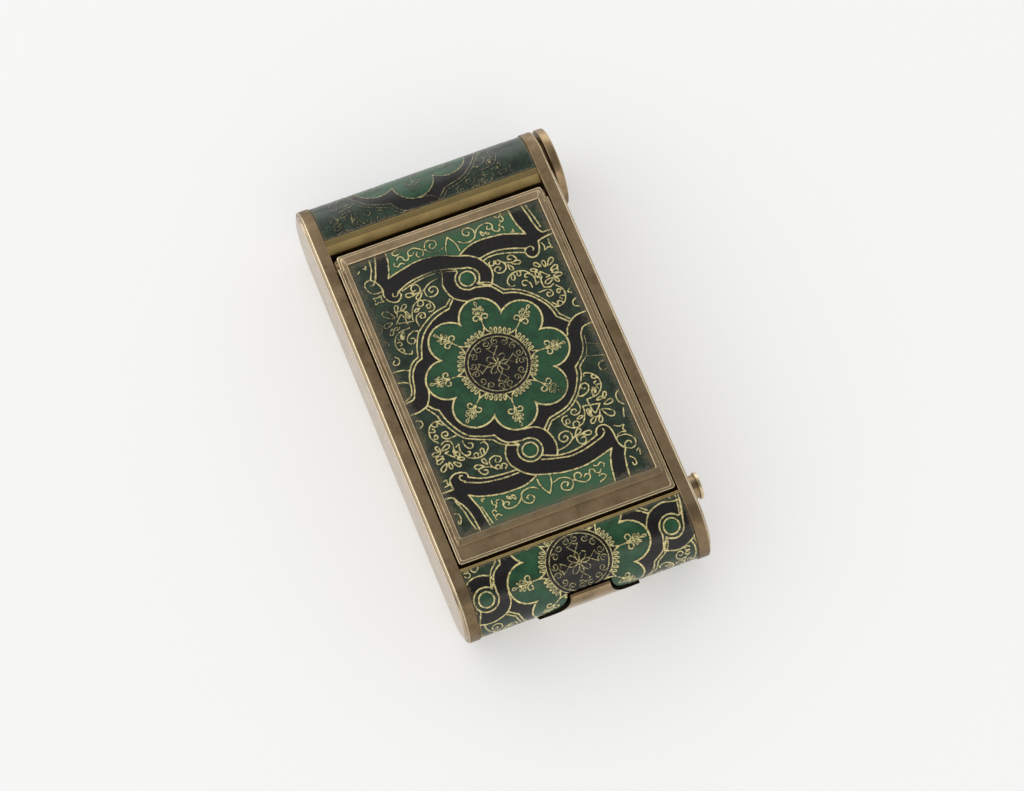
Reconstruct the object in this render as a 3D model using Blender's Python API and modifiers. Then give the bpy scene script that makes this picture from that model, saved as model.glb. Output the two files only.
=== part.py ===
"""Enamel vanity case in the shape of a small folding camera.

Units are metres. X runs across the case, towards the round cap and the button.
Y runs along it, from the button's end to the cap's end, and Z is up. The origin
is the middle of the underside. Two stadium-shaped side plates hold everything:
a folded brass shell lies between them, two curved enamel plaques wrap its ends,
a hinged lid closes the front and a lift-off cover the back.
"""

import math

import bmesh
import bpy
from mathutils import Matrix

# Overall sizes
CASE_WIDTH = 0.0440
CASE_LENGTH = 0.0850
CASE_THICKNESS = 0.0144

# Clearances
FIT_GAP = 0.0003
SWING_GAP = 0.0005
COLLAR_GAP = 0.0004

# Side plates
PLATE_THICKNESS = 0.00217
PLATE_FACE_MARGIN = 0.0011
PLATE_FACE_RISE = 0.0004
PLATE_EDGE_ROUND = 0.00025

# Shell between the plates, and the enamel plaques around its ends
SHELL_WALL = 0.0008
PLAQUE_THICKNESS = 0.0007
PLAQUE_SET_BACK = 0.0002
PLAQUE_RETURN = 0.0020
CROSSBAR_WIDTH = 0.0006
STRIP_WIDTH = 0.0019
STRIP_SLOPE = 0.0003

# Front lid and its enamel panel
LID_RISE = 0.0002
LID_THICKNESS = 0.0013
LID_TIER_RISE = 0.0004
LID_SKIRT_WALL = 0.0007
LID_STEP_SIDE = 0.0008
LID_STEP_FRONT = 0.0031
LID_STEP_HINGE = 0.0007
BEZEL_SIDE = 0.0006
BEZEL_FRONT = 0.0010
BEZEL_HINGE = 0.0013
PANEL_THICKNESS = 0.0006
PANEL_SET_BACK = 0.0002
RELIEF_LENGTH = 0.0023
RELIEF_WIDTH = 0.0005

# Hinge
EAR_RADIUS = 0.0016
HINGE_DROP = 0.0024
HINGE_CLEARANCE = 0.00066
PIN_RADIUS = 0.0005
PIN_SEAT = 0.0012
PIN_STUB = 0.0002

# Back cover with its thumb tab
COVER_THICKNESS = 0.0015
TAB_THICKNESS = 0.0007
TAB_SHIFT = 0.0004
TAB_BAR_RADIUS = 0.0006
TAB_BAR_ANGLE = math.radians(18)
NOTCH_TOP_HALF = 0.0040
NOTCH_TOP_HEIGHT = 0.00305
NOTCH_FLARE = 0.0055
TAB_CLEARANCE = 0.00035

# Round cap of the lipstick tube
CAP_SET_BACK = 0.00005
CAP_RIM = 0.0012
CAP_EDGE_ROUND = 0.0003
CAP_DOME = 0.0003
CAP_SLEEVE_LENGTH = 0.0105
CAP_SLEEVE_WALL = 0.0006

# Release button
BUTTON_FROM_END = 0.0121
BUTTON_STEM_RADIUS = 0.0021
BUTTON_HEAD_RADIUS = 0.0024
BUTTON_HEAD_THICKNESS = 0.0006
BUTTON_STAND = 0.0018
BUTTON_COLLAR_RADIUS = 0.0027
BUTTON_COLLAR_THICKNESS = 0.0006
BUTTON_EDGE_ROUND = 0.00015

# Fineness of round forms
ARC_STEPS = 24
SMALL_ROUND_STEPS = 24
CAP_STEPS = 48

# Places that follow from the sizes
MID_Z = CASE_THICKNESS / 2
END_Y = CASE_LENGTH / 2 - MID_Z
PLATE_IN_X = CASE_WIDTH / 2 - PLATE_THICKNESS
PLATE_FACE_X = CASE_WIDTH / 2 + PLATE_FACE_RISE
SHELL_HALF_X = PLATE_IN_X - FIT_GAP
PLAQUE_OUT_R = MID_Z - PLAQUE_SET_BACK
PLAQUE_IN_R = PLAQUE_OUT_R - PLAQUE_THICKNESS
SHELL_R = PLAQUE_IN_R - FIT_GAP
BORE_R = SHELL_R - SHELL_WALL
PLAQUE_EDGE_Y = END_Y - PLAQUE_RETURN

LID_TOP_Z = CASE_THICKNESS + LID_RISE
LID_TIER_Z = LID_TOP_Z + LID_TIER_RISE
LID_UNDER_Z = LID_TOP_Z - LID_THICKNESS
LID_HALF_X = PLATE_IN_X - SWING_GAP
PANEL_TOP_Z = LID_TIER_Z - PANEL_SET_BACK
PANEL_UNDER_Z = PANEL_TOP_Z - PANEL_THICKNESS
CROSSBAR_OUT_Y = -(PLAQUE_EDGE_Y - FIT_GAP)
CROSSBAR_IN_Y = CROSSBAR_OUT_Y + CROSSBAR_WIDTH
LID_FRONT_Y = CROSSBAR_IN_Y + SWING_GAP
STRIP_OUT_Y = PLAQUE_EDGE_Y - FIT_GAP
STRIP_IN_Y = STRIP_OUT_Y - STRIP_WIDTH
HINGE_Z = LID_TOP_Z - HINGE_DROP
SWING_REACH = max(math.hypot(EAR_RADIUS, HINGE_DROP),
                  math.hypot(EAR_RADIUS - LID_STEP_HINGE, HINGE_DROP + LID_TIER_RISE))
HINGE_Y = STRIP_IN_Y - HINGE_CLEARANCE - SWING_REACH
LID_HINGE_Y = HINGE_Y + EAR_RADIUS

BUTTON_Y = BUTTON_FROM_END - CASE_LENGTH / 2
ROOF_HALF = BUTTON_COLLAR_RADIUS + COLLAR_GAP + SHELL_WALL
ROOF_Z = MID_Z + ROOF_HALF
FLOOR_Z = MID_Z - ROOF_HALF
CHAMBER_Y = BUTTON_Y + BUTTON_COLLAR_RADIUS + SWING_GAP + SHELL_WALL
PARTITION_TOP_Z = MID_Z + SHELL_WALL / 2
PARTITION_UNDER_Z = MID_Z - SHELL_WALL / 2

COVER_FRONT_Y = -(PLAQUE_EDGE_Y - COLLAR_GAP)
COVER_END_Y = STRIP_IN_Y - FIT_GAP
CHAMBER_FOOT_Y = COVER_FRONT_Y - SWING_GAP
COVER_SKIRT_Z = FLOOR_Z - SWING_GAP
NOTCH_SIDE_X = NOTCH_TOP_HALF + NOTCH_FLARE
NOTCH_TOP_Z = MID_Z + NOTCH_TOP_HEIGHT

BRASS = (0.36, 0.25, 0.12, 1.0)
BRIGHT_BRASS = (0.55, 0.40, 0.15, 1.0)
GREEN_ENAMEL = (0.02, 0.07, 0.045, 1.0)


def polar(centre_y, centre_z, radius, degrees):
    """Return the point of a circle in the YZ plane at an angle from +Y."""
    angle = math.radians(degrees)
    return (centre_y + radius * math.cos(angle), centre_z + radius * math.sin(angle))


def arc(centre_y, centre_z, radius, start, end, steps=ARC_STEPS):
    """Return evenly spaced points along an arc, both ends included."""
    count = max(1, round(steps * abs(end - start) / 180))
    return [polar(centre_y, centre_z, radius, start + (end - start) * i / count)
            for i in range(count + 1)]


def add_object(name, mesh, collection):
    """Put a mesh into the scene as a named object."""
    obj = bpy.data.objects.new(name, mesh)
    collection.objects.link(obj)
    return obj


def make_cutter(obj):
    """Mark an object as a construction aid."""
    obj.hide_render = True
    obj.display_type = 'WIRE'
    return obj


def extruded(name, loops, depth, matrix, collection):
    """Make a solid from flat closed loops; a loop inside another is a hole."""
    curve = bpy.data.curves.new(name + "_outline", 'CURVE')
    curve.dimensions = '2D'
    curve.fill_mode = 'BOTH'
    curve.extrude = depth / 2
    for loop in loops:
        spline = curve.splines.new('POLY')
        spline.points.add(len(loop) - 1)
        spline.use_cyclic_u = True
        for point, (u, v) in zip(spline.points, loop):
            point.co = (u, v, 0, 1)
    source = bpy.data.objects.new(name + "_outline", curve)
    collection.objects.link(source)
    source.matrix_world = matrix
    bpy.context.view_layer.update()
    graph = bpy.context.evaluated_depsgraph_get()
    mesh = bpy.data.meshes.new_from_object(source.evaluated_get(graph))
    shape = bmesh.new()
    shape.from_mesh(mesh)
    bmesh.ops.remove_doubles(shape, verts=shape.verts, dist=1e-7)
    shape.to_mesh(mesh)
    shape.free()
    obj = add_object(name, mesh, collection)
    obj.matrix_world = matrix
    bpy.data.objects.remove(source)
    return obj


def across(name, loops, x_low, x_high, collection):
    """Extrude loops drawn in the YZ plane along X."""
    turn = Matrix(((0, 0, 1), (1, 0, 0), (0, 1, 0))).to_4x4()
    place = Matrix.Translation(((x_low + x_high) / 2, 0, 0))
    return extruded(name, loops, x_high - x_low, place @ turn, collection)


def along(name, loops, y_low, y_high, collection):
    """Extrude loops drawn in the XZ plane along Y."""
    turn = Matrix(((1, 0, 0), (0, 0, -1), (0, 1, 0))).to_4x4()
    place = Matrix.Translation((0, (y_low + y_high) / 2, 0))
    return extruded(name, loops, y_high - y_low, place @ turn, collection)


def block(name, x_span, y_span, z_span, collection):
    """Make a box between the given low and high planes."""
    mesh = bpy.data.meshes.new(name)
    shape = bmesh.new()
    size = [high - low for low, high in (x_span, y_span, z_span)]
    centre = [(high + low) / 2 for low, high in (x_span, y_span, z_span)]
    bmesh.ops.create_cube(shape, size=1.0,
                          matrix=Matrix.Translation(centre) @ Matrix.Diagonal((*size, 1.0)))
    shape.to_mesh(mesh)
    shape.free()
    return add_object(name, mesh, collection)


def rod(name, radius, x_span, centre_y, centre_z, collection, steps=SMALL_ROUND_STEPS):
    """Make a round bar that lies along X."""
    mesh = bpy.data.meshes.new(name)
    shape = bmesh.new()
    low, high = x_span
    place = Matrix.Translation(((low + high) / 2, centre_y, centre_z))
    bmesh.ops.create_cone(shape, cap_ends=True, segments=steps, radius1=radius, radius2=radius,
                          depth=high - low, matrix=place @ Matrix.Rotation(math.pi / 2, 4, 'Y'))
    shape.to_mesh(mesh)
    shape.free()
    return add_object(name, mesh, collection)


def turned(name, profile, steps, location, collection):
    """Turn a (radius, height) profile about an axis that points along +X."""
    mesh = bpy.data.meshes.new(name)
    points = [(radius, 0, height) for radius, height in profile]
    edges = [(i, i + 1) for i in range(len(points) - 1)]
    mesh.from_pydata(points, edges, [])
    obj = add_object(name, mesh, collection)
    screw = obj.modifiers.new("Turn", 'SCREW')
    screw.axis = 'Z'
    screw.steps = steps
    screw.render_steps = steps
    screw.use_merge_vertices = True
    screw.merge_threshold = 1e-6
    obj.location = location
    obj.rotation_euler = (0, math.pi / 2, 0)
    return obj


def combine(target, other, operation):
    """Join, cut or keep the shared part of two solids with a Boolean."""
    make_cutter(other)
    boolean = target.modifiers.new(operation.title() + " " + other.name, 'BOOLEAN')
    boolean.operation = operation
    boolean.object = other
    boolean.solver = 'EXACT'


def round_edges(obj, width, segments=1):
    """Ease the sharp edges of a solid."""
    bevel = obj.modifiers.new("Eased edges", 'BEVEL')
    bevel.width = width
    bevel.segments = segments
    bevel.limit_method = 'ANGLE'
    bevel.angle_limit = math.radians(40)


def paint(obj, name, colour, roughness, metallic):
    """Give a piece its own plain material."""
    material = bpy.data.materials.new(name)
    material.use_nodes = True
    shader = material.node_tree.nodes["Principled BSDF"]
    shader.inputs["Base Color"].default_value = colour
    shader.inputs["Roughness"].default_value = roughness
    shader.inputs["Metallic"].default_value = metallic
    obj.data.materials.clear()
    obj.data.materials.append(material)


def stadium(inset):
    """Return the side plate's outline, drawn in from its edge by an inset."""
    radius = MID_Z - inset
    return arc(END_Y, MID_Z, radius, -90, 90) + arc(-END_Y, MID_Z, radius, 90, 270)


def ring_meets(height):
    """Return how far from its centre the tube's wall is at a height off the middle."""
    return math.sqrt(SHELL_R ** 2 - height ** 2)


def build_side_plate(side, collection, cutters):
    """Stadium plate with a raised inner field on its outer face; side is -1 or 1."""
    name = "side_plate_right" if side > 0 else "side_plate_left"
    outer_x = CASE_WIDTH / 2
    base_span = sorted((side * PLATE_IN_X, side * outer_x))
    field_span = sorted((side * (outer_x - PLATE_THICKNESS / 2), side * PLATE_FACE_X))
    plate = across(name, [stadium(0)], *base_span, collection)
    round_edges(plate, PLATE_EDGE_ROUND)
    field = across(name + "_field", [stadium(PLATE_FACE_MARGIN)], *field_span, cutters)
    round_edges(field, PLATE_EDGE_ROUND)
    combine(plate, field, 'UNION')
    seat_span = sorted((side * (PLATE_IN_X - PIN_SEAT), side * (PLATE_IN_X + PIN_SEAT + FIT_GAP)))
    seat = rod(name + "_pin_seat", PIN_RADIUS + FIT_GAP, seat_span, HINGE_Y, HINGE_Z, cutters)
    combine(plate, seat, 'DIFFERENCE')
    if side > 0:
        through = (PLATE_IN_X - SWING_GAP, PLATE_FACE_X + SWING_GAP)
        bore = rod("tube_bore", BORE_R, through, END_Y, MID_Z, cutters, CAP_STEPS)
        combine(plate, bore, 'DIFFERENCE')
        hole = rod("button_hole", BUTTON_STEM_RADIUS + FIT_GAP, through, BUTTON_Y, MID_Z, cutters)
        combine(plate, hole, 'DIFFERENCE')
    paint(plate, name, BRASS, 0.35, 1.0)


def shell_outline():
    """Return the shell's outer outline in the YZ plane, once around."""
    low, high = MID_Z - SHELL_R, MID_Z + SHELL_R
    bar_top_z = MID_Z + PLAQUE_OUT_R
    strip_top_z = bar_top_z
    ring_angle = math.degrees(math.acos((END_Y - STRIP_IN_Y) / SHELL_R))
    floor_angle = math.degrees(math.asin(SHELL_WALL / 2 / SHELL_R))
    points = [(CROSSBAR_OUT_Y, high), (CROSSBAR_OUT_Y, bar_top_z), (CROSSBAR_IN_Y, bar_top_z),
              (CROSSBAR_IN_Y, ROOF_Z), (CHAMBER_Y, ROOF_Z), (CHAMBER_Y, PARTITION_TOP_Z)]
    points += arc(END_Y, MID_Z, SHELL_R, 180 - floor_angle, 180 - ring_angle)
    points += [(STRIP_IN_Y, strip_top_z - STRIP_SLOPE), (STRIP_OUT_Y, strip_top_z),
               (STRIP_OUT_Y, high)]
    points += arc(END_Y, MID_Z, SHELL_R, 90, -90)
    points += [(STRIP_OUT_Y, low), (STRIP_OUT_Y, MID_Z - PLAQUE_OUT_R),
               (STRIP_IN_Y, MID_Z - PLAQUE_OUT_R)]
    points += arc(END_Y, MID_Z, SHELL_R, 180 + ring_angle, 180 + floor_angle)
    points += [(CHAMBER_Y, PARTITION_UNDER_Z), (CHAMBER_Y, FLOOR_Z), (CHAMBER_FOOT_Y, FLOOR_Z),
               (CHAMBER_FOOT_Y, low)]
    points += arc(-END_Y, MID_Z, SHELL_R, 270, 90)
    return points


def chamber_outline():
    """Return the outline of the hollow behind the button, one wall inside the shell."""
    inner_r = SHELL_R - SHELL_WALL
    low, high = MID_Z - inner_r, MID_Z + inner_r
    front_y = CROSSBAR_IN_Y - SHELL_WALL
    end_y = CHAMBER_Y - SHELL_WALL
    foot_y = CHAMBER_FOOT_Y - SHELL_WALL
    roof_z, floor_z = ROOF_Z - SHELL_WALL, FLOOR_Z + SHELL_WALL
    points = [(front_y, high), (front_y, roof_z), (end_y, roof_z), (end_y, floor_z),
              (foot_y, floor_z), (foot_y, low)]
    return points + arc(-END_Y, MID_Z, inner_r, 270, 90)


def build_case_shell(collection):
    """Folded brass body: tube at one end, chamber at the other, a floor between."""
    tube = arc(END_Y, MID_Z, BORE_R, 0, 360)[:-1]
    loops = [shell_outline(), chamber_outline(), tube]
    shell = across("case_shell", loops, -SHELL_HALF_X, SHELL_HALF_X, collection)
    paint(shell, "case_shell", BRIGHT_BRASS, 0.4, 1.0)


def plaque_outline(side):
    """Return a plaque's section: a half ring with two short flat returns."""
    centre = side * END_Y
    edge = side * PLAQUE_EDGE_Y
    start, end = (90, -90) if side > 0 else (90, 270)
    outer = arc(centre, MID_Z, PLAQUE_OUT_R, start, end)
    inner = arc(centre, MID_Z, PLAQUE_IN_R, end, start)
    outer = [(edge, MID_Z + PLAQUE_OUT_R)] + outer + [(edge, MID_Z - PLAQUE_OUT_R)]
    inner = [(edge, MID_Z - PLAQUE_IN_R)] + inner + [(edge, MID_Z + PLAQUE_IN_R)]
    return outer + inner


def bell_outline(clearance):
    """Return the thumb notch seen from the end, made smaller by a clearance."""
    bottom_z = -CASE_THICKNESS / 4
    flare = NOTCH_FLARE + clearance
    side_x = NOTCH_SIDE_X - clearance
    top_z = NOTCH_TOP_Z - clearance
    centre_z = NOTCH_TOP_Z
    reach = math.degrees(math.acos(clearance / flare))
    start = math.degrees(math.asin(clearance / flare))
    right = [(x, z) for x, z in arc(NOTCH_SIDE_X, centre_z, flare, 270 - (90 - reach), 180 + start,
                                    SMALL_ROUND_STEPS)]
    right = [(side_x, bottom_z)] + right
    left = [(-x, z) for x, z in reversed(right)]
    return [(x, min(z, top_z)) for x, z in right + left]


def build_top_plaque(collection):
    """Curved enamel around the tube."""
    plaque = across("top_plaque", [plaque_outline(1)], -SHELL_HALF_X, SHELL_HALF_X, collection)
    paint(plaque, "top_plaque", GREEN_ENAMEL, 0.2, 0.0)


def build_bottom_plaque(collection, cutters):
    """Curved enamel around the button's end, notched for the thumb tab."""
    plaque = across("bottom_plaque", [plaque_outline(-1)], -SHELL_HALF_X, SHELL_HALF_X, collection)
    notch = along("thumb_notch", [bell_outline(0)], -CASE_LENGTH, -PLAQUE_EDGE_Y + FIT_GAP, cutters)
    combine(plaque, notch, 'DIFFERENCE')
    paint(plaque, "bottom_plaque", GREEN_ENAMEL, 0.2, 0.0)


def recess_spans():
    """Return the X and Y spans of the recess that holds an enamel panel in the lid."""
    half_x = LID_HALF_X - LID_STEP_SIDE - BEZEL_SIDE
    low_y = LID_FRONT_Y + LID_STEP_FRONT + BEZEL_FRONT
    high_y = LID_HINGE_Y - LID_STEP_HINGE - BEZEL_HINGE
    return (-half_x, half_x), (low_y, high_y)


def shrunk(span, amount):
    """Move both ends of a span inwards."""
    return (span[0] + amount, span[1] - amount)


def moved(span, amount):
    """Shift a span."""
    return (span[0] + amount, span[1] + amount)


def build_lid_frame(collection, cutters):
    """Stepped brass lid, a shallow tray on its underside, with two hinge ears."""
    x_span = (-LID_HALF_X, LID_HALF_X)
    y_span = (LID_FRONT_Y, LID_HINGE_Y)
    skirt_z = ROOF_Z + SWING_GAP
    lid = block("lid_frame", x_span, y_span, (skirt_z, LID_TOP_Z), collection)
    tier = block("lid_tier", shrunk(x_span, LID_STEP_SIDE),
                 (LID_FRONT_Y + LID_STEP_FRONT, LID_HINGE_Y - LID_STEP_HINGE),
                 (LID_UNDER_Z, LID_TIER_Z), cutters)
    combine(lid, tier, 'UNION')
    hollow = block("lid_hollow", shrunk(x_span, LID_SKIRT_WALL), shrunk(y_span, LID_SKIRT_WALL),
                   (skirt_z - EAR_RADIUS, LID_UNDER_Z), cutters)
    combine(lid, hollow, 'DIFFERENCE')
    recess_x, recess_y = recess_spans()
    recess = block("panel_recess", recess_x, recess_y,
                   (PANEL_UNDER_Z - FIT_GAP, LID_TIER_Z + FIT_GAP), cutters)
    combine(lid, recess, 'DIFFERENCE')
    for side, label in ((-1, "left"), (1, "right")):
        relief_x = sorted((side * (LID_HALF_X - RELIEF_WIDTH), side * (LID_HALF_X + FIT_GAP)))
        relief = block("corner_relief_" + label, relief_x,
                       (LID_HINGE_Y - RELIEF_LENGTH, LID_HINGE_Y + FIT_GAP),
                       (LID_UNDER_Z, LID_TIER_Z), cutters)
        combine(lid, relief, 'DIFFERENCE')
        ear_x = sorted((side * LID_HALF_X, side * (LID_HALF_X - LID_SKIRT_WALL)))
        ear = rod("hinge_ear_" + label, EAR_RADIUS, ear_x, HINGE_Y, HINGE_Z, cutters)
        combine(lid, ear, 'UNION')
        hole_x = sorted((side * (LID_HALF_X + FIT_GAP), side * (LID_HALF_X - 2 * LID_SKIRT_WALL)))
        hole = rod("ear_hole_" + label, PIN_RADIUS + FIT_GAP, hole_x, HINGE_Y, HINGE_Z, cutters)
        combine(lid, hole, 'DIFFERENCE')
    paint(lid, "lid_frame", BRASS, 0.35, 1.0)


def build_lid_panel(collection):
    """Enamel panel in the lid."""
    recess_x, recess_y = recess_spans()
    panel = block("lid_panel", shrunk(recess_x, FIT_GAP), shrunk(recess_y, FIT_GAP),
                  (PANEL_UNDER_Z, PANEL_TOP_Z), collection)
    paint(panel, "lid_panel", GREEN_ENAMEL, 0.2, 0.0)


def build_hinge_pins(collection):
    """Two short pins that carry the lid's ears."""
    for side, label in ((-1, "left"), (1, "right")):
        inner_x = LID_HALF_X - LID_SKIRT_WALL - PIN_STUB
        x_span = sorted((side * inner_x, side * (PLATE_IN_X + PIN_SEAT)))
        name = "hinge_pin_" + label
        pin = rod(name, PIN_RADIUS, x_span, HINGE_Y, HINGE_Z, collection)
        paint(pin, name, BRIGHT_BRASS, 0.3, 1.0)


def back_recess_spans():
    """Return the back recess: the lid's recess, centred along the cover."""
    recess_x, recess_y = recess_spans()
    middle = (COVER_FRONT_Y + COVER_END_Y) / 2
    return recess_x, moved(recess_y, middle - (recess_y[0] + recess_y[1]) / 2)


def tab_outline():
    """Return the thumb tab's section: a flat root and a sheet curling up the end."""
    centre = -END_Y - TAB_SHIFT
    top = 180 - math.degrees(TAB_BAR_ANGLE)
    outer = arc(centre, MID_Z, MID_Z, 270, top)
    inner = arc(centre, MID_Z, MID_Z - TAB_THICKNESS, top, 270)
    root_y = COVER_FRONT_Y + LID_SKIRT_WALL
    return [(root_y, 0)] + outer + inner + [(root_y, TAB_THICKNESS)]


def build_back_cover(collection, cutters):
    """Lift-off back cover: a shallow tray whose thumb tab curls up the end."""
    x_span = (-LID_HALF_X, LID_HALF_X)
    y_span = (COVER_FRONT_Y, COVER_END_Y)
    cover = block("back_cover", x_span, y_span, (0, COVER_SKIRT_Z), collection)
    hollow = block("cover_hollow", shrunk(x_span, LID_SKIRT_WALL), shrunk(y_span, LID_SKIRT_WALL),
                   (COVER_THICKNESS, FLOOR_Z), cutters)
    combine(cover, hollow, 'DIFFERENCE')
    recess_x, recess_y = back_recess_spans()
    recess = block("back_recess", recess_x, recess_y, (-FIT_GAP, PANEL_THICKNESS + FIT_GAP), cutters)
    combine(cover, recess, 'DIFFERENCE')
    tab = across("thumb_tab", [tab_outline()], -NOTCH_SIDE_X, NOTCH_SIDE_X, cutters)
    bell = along("thumb_tab_outline", [bell_outline(TAB_CLEARANCE)], -CASE_LENGTH, 0, cutters)
    combine(tab, bell, 'INTERSECT')
    combine(cover, tab, 'UNION')
    bar_y, bar_z = polar(-END_Y - TAB_SHIFT, MID_Z, MID_Z - TAB_THICKNESS / 2,
                         180 - math.degrees(TAB_BAR_ANGLE))
    bar_half = NOTCH_TOP_HALF - TAB_CLEARANCE
    bar = rod("thumb_bar", TAB_BAR_RADIUS, (-bar_half, bar_half), bar_y, bar_z, cutters)
    combine(cover, bar, 'UNION')
    paint(cover, "back_cover", BRASS, 0.35, 1.0)


def build_back_panel(collection):
    """Plainer enamel panel in the back cover, flush with the underside."""
    recess_x, recess_y = back_recess_spans()
    panel = block("back_panel", shrunk(recess_x, FIT_GAP), shrunk(recess_y, FIT_GAP),
                  (0, PANEL_THICKNESS), collection)
    paint(panel, "back_panel", GREEN_ENAMEL, 0.2, 0.0)


def build_tube_cap(collection):
    """Round domed cap with a short sleeve that sits in the tube."""
    radius = MID_Z - CAP_SET_BACK
    sleeve_out = BORE_R - FIT_GAP
    sleeve_in = sleeve_out - CAP_SLEEVE_WALL
    edge = CAP_RIM + CAP_EDGE_ROUND
    profile = [(0, edge + CAP_DOME)]
    rings = 5
    for i in range(1, rings):
        share = i / rings
        profile.append(((radius - CAP_EDGE_ROUND) * share, edge + CAP_DOME * (1 - share ** 2)))
    for step in range(4):
        angle = math.radians(90 - 30 * step)
        profile.append((radius - CAP_EDGE_ROUND + CAP_EDGE_ROUND * math.cos(angle),
                        CAP_RIM + CAP_EDGE_ROUND * math.sin(angle)))
    profile += [(radius, 0), (sleeve_out, 0), (sleeve_out, -CAP_SLEEVE_LENGTH),
                (sleeve_in, -CAP_SLEEVE_LENGTH), (sleeve_in, 0), (0, 0)]
    location = (PLATE_FACE_X + FIT_GAP, END_Y, MID_Z)
    cap = turned("tube_cap", profile, CAP_STEPS, location, collection)
    paint(cap, "tube_cap", BRASS, 0.3, 1.0)


def build_release_button(collection):
    """Push button: flared head, stem through the plate, collar behind it."""
    inner = PLATE_IN_X - FIT_GAP
    stem_end = PLATE_FACE_X + BUTTON_STAND
    head_end = stem_end + BUTTON_HEAD_THICKNESS
    eased = BUTTON_HEAD_RADIUS - BUTTON_EDGE_ROUND
    profile = [(0, head_end), (eased, head_end), (BUTTON_HEAD_RADIUS, head_end - BUTTON_EDGE_ROUND),
               (BUTTON_HEAD_RADIUS, stem_end), (BUTTON_STEM_RADIUS, stem_end),
               (BUTTON_STEM_RADIUS, inner), (BUTTON_COLLAR_RADIUS, inner),
               (BUTTON_COLLAR_RADIUS, inner - BUTTON_COLLAR_THICKNESS),
               (0, inner - BUTTON_COLLAR_THICKNESS)]
    profile = [(radius, height - inner) for radius, height in profile]
    button = turned("release_button", profile, SMALL_ROUND_STEPS, (inner, BUTTON_Y, MID_Z),
                    collection)
    paint(button, "release_button", BRASS, 0.35, 1.0)


def main():
    """Clear the scene and build every piece."""
    for obj in list(bpy.data.objects):
        bpy.data.objects.remove(obj)
    case = bpy.data.collections.new("enamel_vanity_case")
    cutters = bpy.data.collections.new("construction_aids")
    bpy.context.scene.collection.children.link(case)
    bpy.context.scene.collection.children.link(cutters)
    build_side_plate(-1, case, cutters)
    build_side_plate(1, case, cutters)
    build_case_shell(case)
    build_top_plaque(case)
    build_bottom_plaque(case, cutters)
    build_lid_frame(case, cutters)
    build_lid_panel(case)
    build_hinge_pins(case)
    build_back_cover(case, cutters)
    build_back_panel(case)
    build_tube_cap(case)
    build_release_button(case)


main()
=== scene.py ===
"""Looks of the enamel vanity case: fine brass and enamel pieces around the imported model."""
import math

import bmesh
import bpy
import numpy as np
from bpy.props import FloatProperty, FloatVectorProperty, IntProperty, PointerProperty
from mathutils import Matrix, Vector
from mathutils.geometry import tessellate_polygon

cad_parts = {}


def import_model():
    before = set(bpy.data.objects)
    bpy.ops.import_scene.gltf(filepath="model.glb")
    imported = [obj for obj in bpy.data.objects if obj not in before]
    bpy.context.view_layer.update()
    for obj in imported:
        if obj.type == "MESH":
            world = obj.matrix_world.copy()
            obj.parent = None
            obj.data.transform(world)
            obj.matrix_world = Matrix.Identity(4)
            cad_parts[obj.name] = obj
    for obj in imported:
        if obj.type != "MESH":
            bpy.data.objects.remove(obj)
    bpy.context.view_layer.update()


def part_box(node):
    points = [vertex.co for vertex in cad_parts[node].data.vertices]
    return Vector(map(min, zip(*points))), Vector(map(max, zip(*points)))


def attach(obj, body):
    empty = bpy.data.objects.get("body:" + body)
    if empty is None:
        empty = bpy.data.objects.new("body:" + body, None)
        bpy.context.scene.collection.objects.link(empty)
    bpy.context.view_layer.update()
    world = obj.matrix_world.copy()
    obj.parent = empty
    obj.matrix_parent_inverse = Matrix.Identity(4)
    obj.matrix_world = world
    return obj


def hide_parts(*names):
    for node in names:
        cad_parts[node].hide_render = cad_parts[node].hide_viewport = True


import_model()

bl_info = {
    "name": "Enamel Vanity Case",
    "version": (1, 0, 0),
    "blender": (4, 5, 0),
    "location": "3D View > Sidebar > Vanity Case",
    "description": "Builds the brass and enamel pieces of a small vanity case, and its studio",
    "category": "Object",
}

MM = 0.001
WELD_STEPS = 5000      # steps in a millimetre: points in the same step share their values
WELD_REACH = 2e-7      # metres: points nearer than this become one
SHARP_ANGLE = math.radians(35)


def node_box(name):
    """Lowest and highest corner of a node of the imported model, in millimetres."""
    low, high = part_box(name)
    return np.array(low) / MM, np.array(high) / MM


PLATE_LOW, PLATE_HIGH = node_box("side_plate_right")
SHELL_HIGH = node_box("case_shell")[1]
TOP_HIGH = node_box("top_plaque")[1]
LID_LOW, LID_HIGH = node_box("lid_frame")
PANEL_LOW, PANEL_HIGH = node_box("lid_panel")
BACK_LOW, BACK_HIGH = node_box("back_panel")
CAP_LOW, CAP_HIGH = node_box("tube_cap")
BUTTON_LOW, BUTTON_HIGH = node_box("release_button")
PIN_LOW, PIN_HIGH = node_box("hinge_pin_right")

# Places on the case, in millimetres: (y, z) for an axis along X, and small gaps that the pieces keep
MID_Z = PLATE_HIGH[2] / 2
END_Y = PLATE_HIGH[1] - MID_Z
HINGE = (27.5, 12.2)
BUTTON = (-30.4, MID_Z)
TAB_BAR = (-42.17, 9.44)
TAB_Y = -35.7
SHELL_GAP, PLAQUE_GAP, PANEL_GAP, BACK_GAP = 0.06, 0.08, 0.06, 0.3
LID_GROWTH = 0.2


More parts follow.
